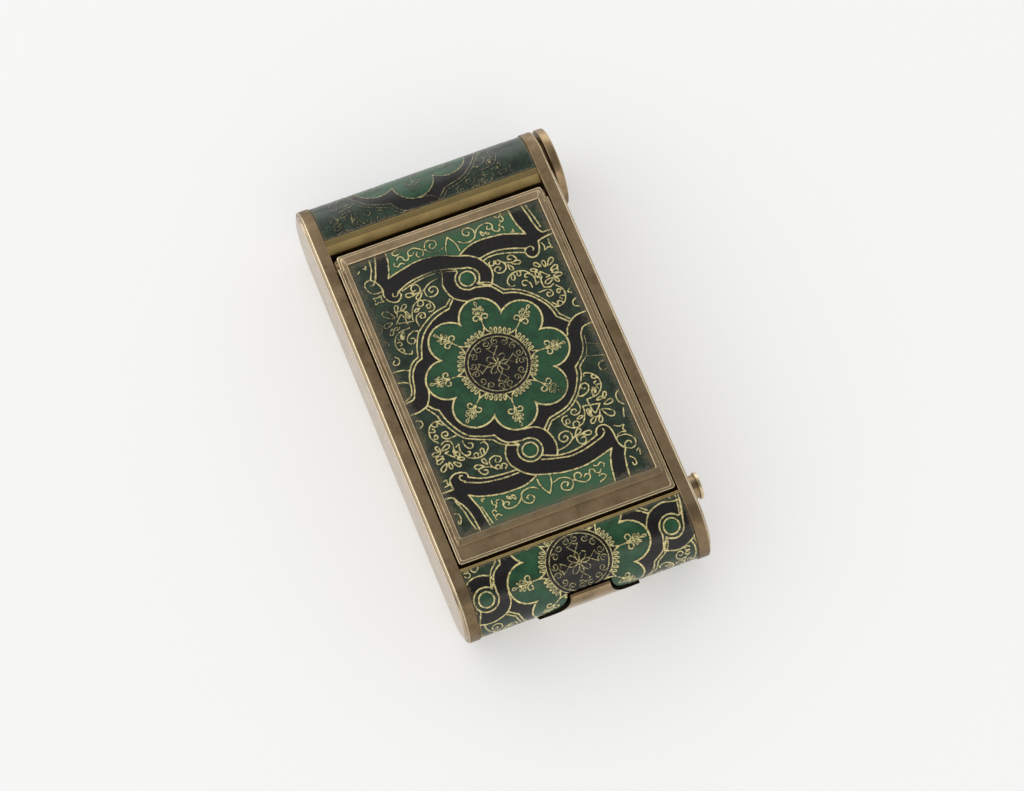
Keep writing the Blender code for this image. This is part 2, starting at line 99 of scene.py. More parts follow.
class Shape:
    """Gathers the grids and flat caps of one piece, in millimetres, with named values at its points."""

    def __init__(self):
        self.points, self.faces, self.values, self.count = [], [], [], 0

    def add_points(self, points, values):
        """Keep an array of points and its named values, and return the index of its first point."""
        first = self.count
        self.points.append(points)
        self.values.append({key: np.broadcast_to(value, points.shape[:1]) for key, value in values.items()})
        self.count += len(points)
        return first

    def grid(self, points, close_v=False, **values):
        """A surface given by rows and columns of points; each cell between them is one quad."""
        rows, columns = points.shape[:2]
        flat = {key: np.broadcast_to(value, (rows, columns)).reshape(-1) for key, value in values.items()}
        first = self.add_points(points.reshape(-1, 3), flat)
        index = first + np.arange(rows * columns).reshape(rows, columns)
        if close_v:
            index = np.concatenate([index, index[:, :1]], axis=1)
        quads = np.stack([index[:-1, :-1], index[:-1, 1:], index[1:, 1:], index[1:, :-1]], axis=-1)
        self.faces += quads.reshape(-1, 4).tolist()

    def cap(self, *loops, **values):
        """A flat face bounded by closed loops of points; a loop inside another is a hole."""
        joined = np.concatenate(loops)
        first = self.add_points(joined, values)
        triangles = tessellate_polygon([[Vector(p) for p in loop] for loop in loops])
        self.faces += (np.array(triangles) + first).tolist()

    def polygon(self, loop, **values):
        """One flat face with a corner at each point of the loop."""
        first = self.add_points(loop, values)
        self.faces.append(list(range(first, first + len(loop))))

    def finish(self, name, material):
        """Weld the parts into one closed mesh in the scene; shared points keep the first part's values."""
        mesh = bpy.data.meshes.new(name)
        places = np.concatenate(self.points)
        mesh.from_pydata((places * MM).tolist(), [], self.faces)
        first, same = np.unique(np.round(places * WELD_STEPS), axis=0, return_index=True, return_inverse=True)[1:]
        for key in sorted({key for values in self.values for key in values}):
            data = [values.get(key, np.zeros(len(points))) for values, points in zip(self.values, self.points)]
            layer = mesh.attributes.new(key, 'FLOAT', 'POINT')
            layer.data.foreach_set("value", np.concatenate(data)[first][same.reshape(-1)].astype(np.float32))
        shape = bmesh.new()
        shape.from_mesh(mesh)
        bmesh.ops.remove_doubles(shape, verts=shape.verts, dist=WELD_REACH)
        bmesh.ops.dissolve_degenerate(shape, edges=shape.edges, dist=1e-8)
        bmesh.ops.recalc_face_normals(shape, faces=shape.faces)
        shape.to_mesh(mesh)
        shape.free()
        mesh.shade_smooth()
        mesh.set_sharp_from_angle(angle=SHARP_ANGLE)
        mesh.materials.append(material)
        obj = bpy.data.objects.new(name, mesh)
        bpy.context.scene.collection.objects.link(obj)
        return obj


def unit(vectors):
    """Vectors of length one."""
    return vectors / np.linalg.norm(vectors, axis=-1, keepdims=True)


def rounded(corners, radii, steps=4):
    """Closed outline through corners, each replaced by the arc that touches both of its sides."""
    corner = np.asarray(corners, float)
    radius = np.broadcast_to(np.asarray(radii, float), len(corner))[:, None]
    back, on = unit(np.roll(corner, 1, 0) - corner), unit(np.roll(corner, -1, 0) - corner)
    half = np.arccos(np.clip((back * on).sum(1), -1, 1))[:, None] / 2
    reach = radius / np.tan(half)
    middle = unit(back + on + 1e-12) * radius / np.sin(half) + corner
    share = np.linspace(0, 1, steps + 1)[None, :, None]
    start, end = corner + back * reach, corner + on * reach
    ray = (1 - share) * (start - middle)[:, None] + share * (end - middle)[:, None]
    size = np.maximum(np.linalg.norm(ray, axis=-1, keepdims=True), 1e-12)
    return (middle[:, None] + ray / size * radius[:, None]).reshape(-1, 2)


def without_repeats(outline):
    """A closed outline, flat or in space, without points that repeat the one before."""
    step = np.linalg.norm(outline - np.roll(outline, 1, 0), axis=1)
    return outline[step > 1e-6]


def arc(centre, radius, start, end, steps):
    """Points of a circle between two angles in degrees, both ends included."""
    angle = np.radians(np.linspace(start, end, steps + 1))
    return np.stack([centre[0] + radius * np.cos(angle), centre[1] + radius * np.sin(angle)], axis=1)


def lift(outline, level, axis):
    """Put a flat outline into space: axis 0 takes it as (y, z) at x = level, axis 2 as (x, y) at z = level."""
    fixed = np.full(outline.shape[:-1] + (1,), float(level))
    return np.concatenate([fixed, outline] if axis == 0 else [outline, fixed], axis=-1)


def prism(shape, loops, stations, grime=None):
    """Carry closed (y, z) outlines along X through the stations and close both ends."""
    loops = [without_repeats(loop) for loop in loops]
    for loop in loops:
        rows = np.stack([lift(loop, x, 0) for x in stations])
        shape.grid(rows, close_v=True, grime=0.0 if grime is None else grime(rows))
    for x in (stations[0], stations[-1]):
        shape.cap(*[lift(loop, x, 0) for loop in loops])


def turned(shape, profile, centre, steps, wear=0.0, grime=0.0):
    """Turn an (x, radius) profile about a line along X at (y, z); a radius of nought closes an end."""
    profile = np.asarray(profile, float)
    angle = np.linspace(0, 2 * math.pi, steps, endpoint=False)
    x = np.broadcast_to(profile[:, :1], (len(profile), steps))
    y = centre[0] + profile[:, 1:] * np.cos(angle)
    z = centre[1] + profile[:, 1:] * np.sin(angle)
    wear, grime = (np.asarray(value, float).reshape(-1, 1) for value in (wear, grime))
    shape.grid(np.stack([x, y, z], axis=-1), close_v=True, wear=wear, grime=grime)


def eased_profile(profile, radii, steps):
    """Open profile whose inner corners are rounded by their radii, and whose two ends stay."""
    profile = np.asarray(profile, float)
    closed = rounded(profile, np.concatenate([[0], radii, [0]]), steps).reshape(len(profile), steps + 1, 2)
    return np.concatenate([profile[:1], closed[1:-1].reshape(-1, 2), profile[-1:]])


def joined(obj, others, operation):
    """Join to a piece, or cut from it, other closed pieces, exactly, and remove those."""
    for other in others:
        boolean = obj.modifiers.new(other.name, 'BOOLEAN')
        boolean.operation = operation
        boolean.object = other
        boolean.solver = 'EXACT'
    graph = bpy.context.evaluated_depsgraph_get()
    mesh = bpy.data.meshes.new_from_object(obj.evaluated_get(graph))
    obj.modifiers.clear()
    old = obj.data
    obj.data = mesh
    bpy.data.meshes.remove(old)
    mesh.name = obj.name
    for other in others:
        data = other.data
        bpy.data.objects.remove(other)
        bpy.data.meshes.remove(data)
    mesh.set_sharp_from_angle(angle=SHARP_ANGLE)


def place(obj, node, body, slot):
    """Let a finished piece stand for its node of the model and move with its body; all but enamel get even shading."""
    if slot != "enamel":
        even = obj.modifiers.new("even_shading", 'WEIGHTED_NORMAL')
        even.keep_sharp = True
        even.weight = 100
    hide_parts(node)
    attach(obj, body)


# Materials


def shade(colour, share):
    """A colour made darker or lighter by a share."""
    return tuple(min(1.0, c * share) for c in colour[:3]) + (1.0,)


class Finish:
    """A new material with its shader, and the nodes that its finish is mixed from."""

    def __init__(self, name):
        self.material = bpy.data.materials.new(name)
        self.material.use_nodes = True
        self.tree = self.material.node_tree
        self.shader = self.tree.nodes["Principled BSDF"]
        self.place = self.node('ShaderNodeTexCoord').outputs["Object"]

    def feed(self, socket, value):
        """Link another socket into this one, or set it to a plain value."""
        if isinstance(value, bpy.types.NodeSocket):
            self.tree.links.new(value, socket)
        else:
            socket.default_value = value

    def node(self, kind, settings=None, **inputs):
        """Add a node; its inputs are named as its sockets are, with _ for a space."""
        made = self.tree.nodes.new(kind)
        for key, value in (settings or {}).items():
            setattr(made, key, value)
        for key, value in inputs.items():
            self.feed(made.inputs[key.replace("_", " ")], value)
        return made

    def noise(self, scale, detail, roughness, at=None):
        """Noise from nought to one, its scale in waves a metre."""
        return self.node('ShaderNodeTexNoise', Vector=self.place if at is None else at, Scale=scale, Detail=detail,
                         Roughness=roughness).outputs[0]

    def value(self, key):
        """A value that the piece carries at its points."""
        return self.node('ShaderNodeAttribute', {"attribute_name": key}).outputs["Fac"]

    def step(self, source, low, high):
        """Smooth step of a value, from nought at low to one at high."""
        return self.node('ShaderNodeMapRange', {"interpolation_type": 'SMOOTHSTEP'}, Value=source, From_Min=low,
                         From_Max=high).outputs["Result"]

    def mix(self, share, first, second):
        """Blend two colours by a share; a Mix node's colours are its inputs 6 and 7 and its output 2."""
        made = self.node('ShaderNodeMix', {"data_type": 'RGBA'})
        for index, value in ((0, share), (6, first), (7, second)):
            self.feed(made.inputs[index], value)
        return made.outputs[2]

    def maths(self, operation, first, second):
        """One arithmetic step on two values."""
        made = self.node('ShaderNodeMath', {"operation": operation})
        self.feed(made.inputs[0], first)
        self.feed(made.inputs[1], second)
        return made.outputs[0]

    def times(self, first, second):
        """The product of two values."""
        return self.maths('MULTIPLY', first, second)

    def plus(self, first, second):
        """The sum of two values."""
        return self.maths('ADD', first, second)

    def minus(self, first, second):
        """The first value less the second."""
        return self.maths('SUBTRACT', first, second)

    def surface(self, **sockets):
        """Give the shader its sockets, named as they are, with _ for a space, and return the material."""
        for key, value in sockets.items():
            self.feed(self.shader.inputs[key.replace("_", " ")], value)
        return self.material

    def bump(self, height, strength, distance):
        """Relief by a height, as strong as given and its depth in metres."""
        return self.node('ShaderNodeBump', Height=height, Strength=strength, Distance=distance).outputs[0]


def brass_material(name, base, dark, bright, roughness, patina):
    """Old brass: a dull film in soft patches, fine pits, rubbed bright edges and hairline scratches; a painted
    reflection where it is burnished, and painted shade where the piece carries it.
    """
    made = Finish(name)
    times, plus, minus, step, mix = made.times, made.plus, made.minus, made.step, made.mix
    cloud, blotch, grain = made.noise(260.0, 5.0, 0.6), made.noise(1500.0, 6.0, 0.65), made.noise(9000.0, 3.0, 0.6)
    drawn_out = made.node('ShaderNodeMapping', Vector=made.place, Rotation=(0, 0, 0.35), Scale=(900.0, 9000.0, 3000.0))
    hair = made.noise(1.0, 2.0, 0.5, drawn_out.outputs[0])
    polish = made.value("polish")
    film = times(times(step(cloud, 0.3, 0.75), patina), minus(1.0, times(polish, 0.8)))
    spots = times(step(blotch, 0.58, 0.74), patina)
    worn = times(made.value("wear"), step(grain, 0.25, 0.6))
    grime = times(made.value("grime"), 0.97)
    colour = mix(worn, mix(spots, mix(film, base, dark), dark), bright)
    # Painted reflection: burnished places turn towards a pale beige, like brass mirroring the pale floor
    colour = mix(times(polish, 0.55), colour, (0.80, 0.72, 0.61, 1.0))
    # Painted shade: near black where the piece carries its painted shade
    colour = mix(grime, colour, (0.012, 0.009, 0.006, 1.0))
    rough = plus(times(film, 0.12), plus(times(grime, 0.3), roughness))
    rough = plus(rough, times(spots, 0.14))
    rough = minus(minus(rough, times(worn, 0.12)), times(polish, 0.16))
    height = plus(plus(times(grain, 0.5), times(blotch, 0.8)), times(step(hair, 0.55, 0.7), 0.25))
    return made.surface(Base_Color=colour, Metallic=1.0, Roughness=rough, Normal=made.bump(height, 0.25, 0.00002))


def enamel_material(name, ground, green, pale, black, gold, worn, metal):
    """Glossy enamel: green, black and gold fields by the drawing's own values, worn grey at its edges."""
    made = Finish(name)
    times, plus, minus, step, mix, field = made.times, made.plus, made.minus, made.step, made.mix, made.value
    cloud, speck = made.noise(420.0, 6.0, 0.65), made.noise(5200.0, 4.0, 0.7)
    fine, patch = made.noise(14000.0, 2.0, 0.5), made.noise(1500.0, 4.0, 0.7)
    edge = 0.04
    # Fields, from the ground up
    deep = mix(step(cloud, 0.35, 0.7), ground, shade(ground, 3.4))
    deep = mix(times(step(speck, 0.56, 0.72), 0.7), deep, pale)
    colour = mix(step(field("pale"), -edge, edge), deep, pale)
    colour = mix(step(field("green"), -edge, edge), colour, mix(step(cloud, 0.3, 0.7), green, shade(green, 0.5)))
    strap = mix(times(step(patch, 0.42, 0.68), 0.9), black, shade(black, 2.6))
    colour = mix(step(field("black"), -edge, edge), colour, strap)
    # Painted shade: the enamel just beside each gold line is darkened towards black, like the shade beside a raised
    # line
    colour = mix(times(step(field("gold"), -0.3, -0.05), 0.45), colour, black)
    # Rubbed border and chips
    rub = plus(times(field("wear"), 0.95), times(minus(speck, 0.5), 2.2))
    rub = plus(rub, times(minus(patch, 0.5), 1.1))
    rubbed, chipped = step(rub, 0.55, 0.75), step(rub, 1.15, 1.3)
    colour = mix(times(rubbed, 0.65), colour, mix(step(cloud, 0.4, 0.6), worn, metal))
    # Gold lines, thinner where they are worn or faded
    thin = minus(field("gold"), times(minus(fine, 0.5), 0.3))
    thin = minus(thin, times(step(patch, 0.5, 0.75), 0.08))
    thin = minus(thin, times(field("faded"), times(speck, 0.25)))
    kept = times(minus(1.0, times(rubbed, 0.55)), minus(1.0, times(field("faded"), 0.7)))
    line = times(step(thin, -0.035, 0.035), kept)
    tone = step(plus(times(speck, 0.5), times(patch, 0.5)), 0.42, 0.6)
    colour = mix(line, colour, mix(tone, gold, (0.36, 0.30, 0.13, 1.0)))
    colour = mix(chipped, colour, metal)
    rough = plus(plus(times(rubbed, 0.35), 0.35), times(step(speck, 0.5, 0.8), 0.1))
    height = plus(times(cloud, 1.5), times(speck, 0.35))
    return made.surface(Base_Color=colour, Metallic=made.maths('MAXIMUM', times(line, 0.2), chipped), Roughness=rough,
                        Coat_Weight=0.25, Coat_Roughness=0.1, IOR=1.38, Normal=made.bump(height, 0.2, 0.00003))


def paper_material(name, colour):
    """Matt pale paper with the faintest fibre."""
    made = Finish(name)
    fibre = made.step(made.noise(900.0, 4.0, 0.6), 0.3, 0.7)
    return made.surface(Base_Color=made.mix(fibre, colour, shade(colour, 0.985)), Roughness=0.9,
                        Specular_IOR_Level=0.1, Emission_Color=colour, Emission_Strength=0.55)


# Sizes and colours a user would change


def length(name, description, default_mm):
    """A length property with its default given in millimetres."""
    return FloatProperty(name=name, description=description, default=default_mm * MM, unit='LENGTH',
                         precision=5, min=0.0)


def tint(name, description, default):
    """A colour property."""
    return FloatVectorProperty(name=name, description=description, default=default, subtype='COLOR',
                               size=4, min=0.0, max=1.0)


class PlateSettings(bpy.types.PropertyGroup):
    """Sizes of the side plates."""
    face_margin: length("Face margin", "Step from the plate's edge to its raised field", 1.1)
    face_rise: length("Face rise", "Height of the raised field", 0.4)
    edge_round: length("Edge round", "Radius of the plate's worn edges", 0.3)


class ShellSettings(bpy.types.PropertyGroup):
    """Sizes of the folded shell."""
    wall: length("Wall", "Thickness of the folded sheet", 0.8)
    ridge_round: length("Ridge round", "Radius of the strip's ridge", 0.3)


class LidSettings(bpy.types.PropertyGroup):
    """Sizes of the lid's frame."""
    edge_round: length("Edge round", "Radius of the frame's worn edges", 0.13)
    corner_round: length("Corner round", "Radius of the frame's corners, seen from above", 0.5)


class CoverSettings(bpy.types.PropertyGroup):
    """Sizes of the back cover and its thumb tab."""
    edge_round: length("Edge round", "Radius of the cover's edges", 0.2)
    bar_radius: length("Bar radius", "Radius of the thumb tab's rounded bar", 0.6)


class CapSettings(bpy.types.PropertyGroup):
    """Sizes of the tube cap."""
    edge_round: length("Edge round", "Radius of the cap's edge", 0.3)
    steps: IntProperty(name="Steps", description="Divisions around the cap", default=128, min=24, max=512)


class ButtonSettings(bpy.types.PropertyGroup):
    """Sizes of the push button."""
    edge_round: length("Edge round", "Radius of the button's edges", 0.15)
    steps: IntProperty(name="Steps", description="Divisions around the button", default=64, min=16, max=256)


class BrassSettings(bpy.types.PropertyGroup):
    """Colours of the brass."""
    base: tint("Brass", "Satin brass of the frame", (0.41, 0.295, 0.170, 1.0))
    film: tint("Film", "Dull brown film on the brass", (0.165, 0.113, 0.058, 1.0))
    rubbed: tint("Rubbed", "Rubbed bright edges", (0.90, 0.76, 0.50, 1.0))
    bright: tint("Bright brass", "Yellower brass of the strip", (0.56, 0.42, 0.175, 1.0))


class EnamelSettings(bpy.types.PropertyGroup):
    """Colours of the enamel."""
    ground: tint("Ground", "Dark green ground", (0.008, 0.016, 0.009, 1.0))
    green: tint("Green", "Green of the rosette", (0.024, 0.095, 0.040, 1.0))
    pale: tint("Pale green", "Green of the fields near the ends", (0.040, 0.112, 0.050, 1.0))
    black: tint("Black", "Black of the straps", (0.005, 0.004, 0.0035, 1.0))
    gold: tint("Gold", "Gold of the drawn lines", (0.95, 0.82, 0.38, 1.0))
    worn: tint("Worn", "Grey of the rubbed borders", (0.10, 0.105, 0.075, 1.0))


class StudioSettings(bpy.types.PropertyGroup):
    """Light of the studio."""
    paper: tint("Paper", "Pale, softly lit floor", (0.66, 0.66, 0.655, 1.0))
    key_power: FloatProperty(name="Key", description="Power of the large soft light", default=1.0, min=0.0)
    front_power: FloatProperty(name="Front", description="Power of the front softbox", default=0.3, min=0.0)


class VanityCaseSettings(bpy.types.PropertyGroup):
    """All settings of the vanity case."""
    plates: PointerProperty(type=PlateSettings)
    shell: PointerProperty(type=ShellSettings)
    lid: PointerProperty(type=LidSettings)
    cover: PointerProperty(type=CoverSettings)
    cap: PointerProperty(type=CapSettings)
    button: PointerProperty(type=ButtonSettings)
    brass: PointerProperty(type=BrassSettings)
    enamel: PointerProperty(type=EnamelSettings)
    studio: PointerProperty(type=StudioSettings)


def settings(context):
    """The settings that the operators read."""
    return context.scene.vanity_case


def brass(context, bright=False):
    """The satin brass of the frame, or the brighter brass of the strip, each made once."""
    name = "yellow_strip_brass" if bright else "satin_frame_brass"
    if name not in bpy.data.materials:
        colours = settings(context).brass
        base, roughness, patina = (colours.bright, 0.28, 0.35) if bright else (colours.base, 0.32, 0.8)
        brass_material(name, tuple(base), tuple(colours.film), tuple(colours.rubbed), roughness, patina)
    return bpy.data.materials[name]


def enamel(context):
    """The enamel with its drawing, made once."""
    if "drawn_enamel" not in bpy.data.materials:
        colours = settings(context).enamel
        fields = [getattr(colours, key) for key in ("ground", "green", "pale", "black", "gold", "worn")]
        enamel_material("drawn_enamel", *map(tuple, fields), metal=tuple(settings(context).brass.film))
    return bpy.data.materials["drawn_enamel"]


# Side plates


# Share of burnish on the plates' outer faces and in their holes, with a painted reflection of the pale floor
POLISH_AND_REFLECTION = 0.6


def stadium(inset, steps=48):
    """The plate's outline in (y, z), drawn in from its edge by an inset: two half circles and their tangents."""
    radius = MID_Z - inset
    return np.concatenate([arc((END_Y, MID_Z), radius, -90, 90, steps), arc((-END_Y, MID_Z), radius, 90, 270, steps)])


def side_plate(context, side, holes):
    """Plate as a stack of stadiums along an (x, inset) profile; holes are (y, z, radius) through it."""
    sizes = settings(context).plates
    margin, rise, ease = sizes.face_margin / MM, sizes.face_rise / MM, sizes.edge_round / MM
    outer = PLATE_HIGH[0] - rise
    profile = eased_profile([(PLATE_LOW[0], 1.0), (PLATE_LOW[0], 0.0), (outer, 0.0), (outer, margin),
                             (PLATE_HIGH[0], margin), (PLATE_HIGH[0], margin + 1.0)],
                            (0.15, ease, 0.08, 0.2), steps=4)
    shape = Shape()
    rings = np.stack([lift(stadium(inset), side * x, 0) for x, inset in profile])
    worn_edge, burnished_reflecting_rows = np.zeros((len(profile), 1)), np.zeros((len(profile), 1))
    worn_edge[7:10] = 1.0
    # Outer face rows: burnished, with a painted reflection of the pale floor
    burnished_reflecting_rows[11:] = POLISH_AND_REFLECTION
    # Painted shade: the plate's edges darken towards both rounded ends
    ends = 0.35 * np.clip((np.abs(rings[..., 1]) - 33) / 5, 0, 1)
    shape.grid(rings, close_v=True, wear=worn_edge, polish=burnished_reflecting_rows, grime=ends * (burnished_reflecting_rows == 0))
    inner_holes, outer_holes = [], []
    for y, z, radius in holes:
        circle = arc((y, z), radius, 0, 360, 64)[:-1]
        wall = np.stack([lift(circle, side * PLATE_LOW[0], 0), lift(circle, side * PLATE_HIGH[0], 0)])
        shape.grid(wall, close_v=True, polish=POLISH_AND_REFLECTION)
        inner_holes.append(wall[0])
        outer_holes.append(wall[1])
    shape.cap(without_repeats(rings[0]), *inner_holes)
    shape.cap(without_repeats(rings[-1]), *outer_holes, polish=POLISH_AND_REFLECTION)
    name = "side_plate_right" if side > 0 else "side_plate_left"
    place(shape.finish(name, brass(context)), name, "case", "brass")


# Shell


def shell_outline(wall, ridge):
    """The shell's outer outline in (y, z): tube, strip with its rounded ridge, partition, chamber and crossbar."""
    radius = SHELL_HIGH[1] - END_Y
    top = TOP_HIGH[2]
    low, high = MID_Z - radius, MID_Z + radius
    strip_front, strip_under, plaque_seam, bar_front = 30.5, 31.1, 33.0, -32.4
    chamber_front, chamber_back, roof, chamber_floor = -26.4, -33.4, MID_Z + 3.9, MID_Z - 3.9
    ring = math.degrees(math.acos((END_Y - strip_front) / radius))
    low_ring = math.degrees(math.acos((END_Y - strip_under) / radius))
    floor = math.degrees(math.asin(wall / 2 / radius))
    centre = (END_Y, MID_Z)
    head = rounded([(strip_front, 9.0), (strip_front, 13.0), (31.9, top - 0.15), (plaque_seam, top),
                    (plaque_seam, high)], (0, 0.3, ridge, 0.1, 0), 4)
    bar = rounded([(-plaque_seam, high), (-plaque_seam, top), (bar_front, top), (bar_front, roof)],
                  (0, 0.15, 0.15, 0), 3)
    parts = [bar[4:12], [(bar_front, roof), (chamber_front, roof), (chamber_front, MID_Z + wall / 2)],
             arc(centre, radius, 180 - floor, 180 - ring, 12), head[5:20], [(plaque_seam, high)],
             arc(centre, radius, 90, -90, 48),
             [(plaque_seam, low), (plaque_seam, MID_Z - 7.0), (strip_under, MID_Z - 7.0)],
             arc(centre, radius, 180 + low_ring, 180 + floor, 12),
             [(chamber_front, MID_Z - wall / 2), (chamber_front, chamber_floor), (chamber_back, chamber_floor),
              (chamber_back, low)],
             arc((-END_Y, MID_Z), radius, 270, 90, 48), [(-plaque_seam, high)]]
    return np.concatenate([np.asarray(part, float) for part in parts])


def case_shell(context):
    """Shell as its outline, tube and chamber carried along X."""
    sizes = settings(context).shell
    wall, ridge = sizes.wall / MM, sizes.ridge_round / MM
    radius = SHELL_HIGH[1] - END_Y - wall
    inner_high, inner_low = MID_Z + radius, MID_Z - radius
    chamber = np.concatenate([
        [(-33.2, inner_high), (-33.2, 10.3), (-27.2, 10.3), (-27.2, 4.1), (-34.2, 4.1), (-34.2, inner_low)],
        arc((-END_Y, MID_Z), radius, 270, 90, 48)])
    tube = arc((END_Y, MID_Z), radius, 0, 360, 96)[:-1]
    shape = Shape()
    side, dirt_end, dirt_start = PLATE_LOW[0] - SHELL_GAP, 10.6, 10.2
    stations = (-side, -dirt_end, -dirt_start, dirt_start, dirt_end, side)

    def painted_shade_in_hollows(points):
        """Painted shade: full behind the thumb notch, less in the groove beside the hinge and on the strip's slope,
        else nought.
        """
        x, y, z = np.moveaxis(points, -1, 0)
        groove, slope = (y > 28.0) & (y < 31.4) & (z > 8.5), (y > 31.3) & (y < 31.85) & (z > 8.5)
        behind_notch = (np.abs(x) < 10.4) & (y < -34.0)
        return np.select([behind_notch, groove, slope], [1.0, 0.6, 0.4], 0.0)

    prism(shape, [shell_outline(wall, ridge), chamber, tube], stations, painted_shade_in_hollows)
    place(shape.finish("case_shell", brass(context, bright=True)), "case_shell", "case", "bright_brass")


# Enamel

# Outlines of the straps and of the two green end fields, in millimetres on the lid; a point given twice is a corner
SURROUND = [
    (-19.5, -3.5), (-17, -3.5), (-15.8, -3.4), (-14.8, -3.1), (-14.2, -2.8), (-14.2, -2.8), (-13.4, -3.8),
    (-12.7, -4.3), (-12.7, -4.3), (-12.5, -5.2), (-12.2, -6.4), (-11.6, -7.8), (-10.8, -9.2), (-9.6, -10.6),
    (-7.8, -11.4), (-6.4, -11.85), (-5.55, -12.05), (-5.55, -12.05), (-5.2, -12.8), (-4.4, -13.8), (-3.4, -14.3),
    (-2.2, -14.55), (-0.8, -14.75), (0.4, -15.2), (1, -15.9), (1.25, -16.8), (1, -17.7), (0.4, -18.3), (0.4, -18.3),
    (1.1, -18.6), (2.9, -19.35), (2.9, -19.35), (3.3, -18.8), (3.6, -17.6), (3.65, -16.7), (3.4, -15.6), (3, -14.6),
    (2.7, -14.1), (2.7, -14.1), (4.3, -12.5), (4.3, -12.5), (5.5, -12.25), (7.1, -11.85), (8.3, -11.3),
    (9.3, -10.5), (10.2, -9.5), (11.1, -8), (11.7, -6.6), (11.9, -5.3), (11.9, -5.3), (12.5, -4.8), (13.5, -3.9),
    (14.3, -2.8), (14.8, -1.4), (15, -0.2), (15.5, 0.8), (16.3, 1.4), (19.5, 1.7), (19.5, 1.7), (19.5, 3.9),
    (19.5, 3.9), (17, 3.85), (15.7, 3.75), (14.8, 3.35), (14.2, 2.9), (14.2, 2.9), (13.3, 3.9), (12.4, 4.8),
    (12.4, 4.8), (12.2, 6), (11.7, 7.4), (10.9, 8.6), (9.8, 9.9), (8.1, 11.2), (6.9, 11.8), (5.5, 12.15),
    (5.5, 12.15), (4.9, 13), (4.3, 13.8), (3.5, 14.4), (2.1, 14.8), (0.9, 15.1), (-0.4, 15.6), (-1, 16.2),
    (-1.25, 17), (-1.05, 17.9), (-0.5, 18.7), (-0.5, 18.7), (-0.8, 19.5), (-3, 20.3), (-3, 20.3), (-3.1, 19.4),
    (-3.3, 18.6), (-3.7, 17.4), (-3.6, 16.2), (-3.3, 15.2), (-2.9, 14.4), (-2.9, 14.4), (-3.5, 13.75), (-4.3, 12.8),
    (-4.3, 12.8), (-5.8, 12.5), (-7.4, 11.9), (-8.8, 11), (-10, 9.9), (-11.1, 8.2), (-11.6, 6.8), (-12, 5.7),
    (-12, 5.7), (-13, 5.3), (-14, 4.3), (-14.6, 3.2), (-14.9, 2), (-15.1, 1), (-15.6, -0.2), (-16.3, -1),
    (-19.5, -1.3), (-19.5, -1.3)
]

BAND_LOW_RIGHT = [
    (-4.4, -14.5), (-5, -15.7), (-5.2, -16.9), (-5, -18.1), (-4.4, -19.1), (-3.6, -20.1), (-2.4, -21), (-1, -21.6),
    (1.1, -22.2), (2.7, -22.6), (4.7, -22.8), (6.7, -22.8), (8.5, -22.5), (10.3, -22), (12.1, -21.5), (12.1, -21.5),
    (11.5, -22.5), (11, -23.9), (10.7, -25.1), (10.3, -28), (10.3, -28), (13, -28), (13, -28), (13.2, -25.9),
    (13.4, -24.9), (13.7, -23.5), (14.25, -22.4), (14.25, -22.4), (13.6, -21.2), (13.45, -19.95), (13.45, -19.95),
    (13.4, -18.9), (13.2, -17.9), (12.6, -17.1), (11.8, -16.9), (11.1, -17.2), (10.7, -17.8), (10.7, -18.3),
    (10.7, -18.3), (9.1, -18.9), (7.1, -19.4), (5.1, -19.6), (2.9, -19.35), (1.1, -18.6), (0.4, -18.4),
    (-1, -18.95), (-2.2, -18.4), (-2.9, -17.6), (-3.05, -16.8), (-2.8, -15.8), (-2.2, -15.2), (-2.2, -15.2),
    (-3.4, -14.3), (-4.4, -14.5), (-4.4, -14.5)
]

BAND_LOW_LEFT = [
    (-4.3, -19.3), (-5.6, -19.3), (-7, -19.2), (-8.8, -19), (-10.2, -18.7), (-11.4, -18.2), (-12.5, -17.6),
    (-12.5, -17.6), (-12.4, -17.1), (-12.8, -16.6), (-13.6, -16.3), (-14.6, -16.3), (-15.4, -16.8), (-15.7, -17.5),
    (-15.6, -18.8), (-15.6, -18.8), (-19.5, -18.9), (-19.5, -18.9), (-19.5, -20), (-19.5, -20), (-17, -20),
    (-16.2, -20.3), (-15.8, -21.1), (-15, -22.3), (-14.6, -23.5), (-14.3, -24.9), (-14, -28), (-14, -28),
    (-12, -28), (-12, -28), (-12.5, -24.9), (-12.7, -23.5), (-13.1, -22.3), (-13.6, -20.7), (-13.6, -20.7),
    (-12.2, -21.5), (-10.2, -22.1), (-8.2, -22.5), (-6.2, -22.6), (-4.2, -22.5), (-2.6, -22), (-1.6, -21.5),
    (-1.6, -21.5), (-2.6, -20.9), (-3.6, -20.1), (-4.3, -19.3)
]

BAND_HIGH_LEFT = [
    (4.2, 14.3), (4.7, 15.3), (5.1, 16.2), (5.2, 17.4), (4.7, 18.6), (4, 19.8), (3.1, 20.6), (2.1, 21.2),
    (0.9, 21.6), (-0.2, 22), (-1.2, 22.5), (-2.6, 22.95), (-4.2, 23.2), (-6.2, 23.3), (-8.2, 22.95), (-10.2, 22.5),
    (-12, 22), (-12, 22), (-11.5, 23), (-11.15, 24.2), (-10.9, 25.2), (-10.7, 28), (-10.7, 28), (-12.5, 28),
    (-12.5, 28), (-12.95, 25.9), (-13.4, 24.6), (-13.9, 23.2), (-14.4, 22.2), (-14.4, 22.2), (-13.9, 21.3),
    (-13.65, 20.1), (-13.65, 20.1), (-13.9, 19.4), (-13.75, 18.6), (-13.3, 17.8), (-12.2, 17.25), (-11.4, 17.7),
    (-11, 18.4), (-11.3, 19), (-11.3, 19), (-10.6, 19.3), (-9.6, 19.75), (-8.2, 20.15), (-6.2, 20.4), (-4.2, 20.45),
    (-2.2, 20.1), (-0.8, 19.65), (0.5, 19.2), (1.7, 18.85), (2.5, 18.2), (2.9, 17.3), (2.6, 16.2), (1.9, 15.5),
    (1.9, 15.5), (3.2, 14.8), (4.2, 14.3)
]

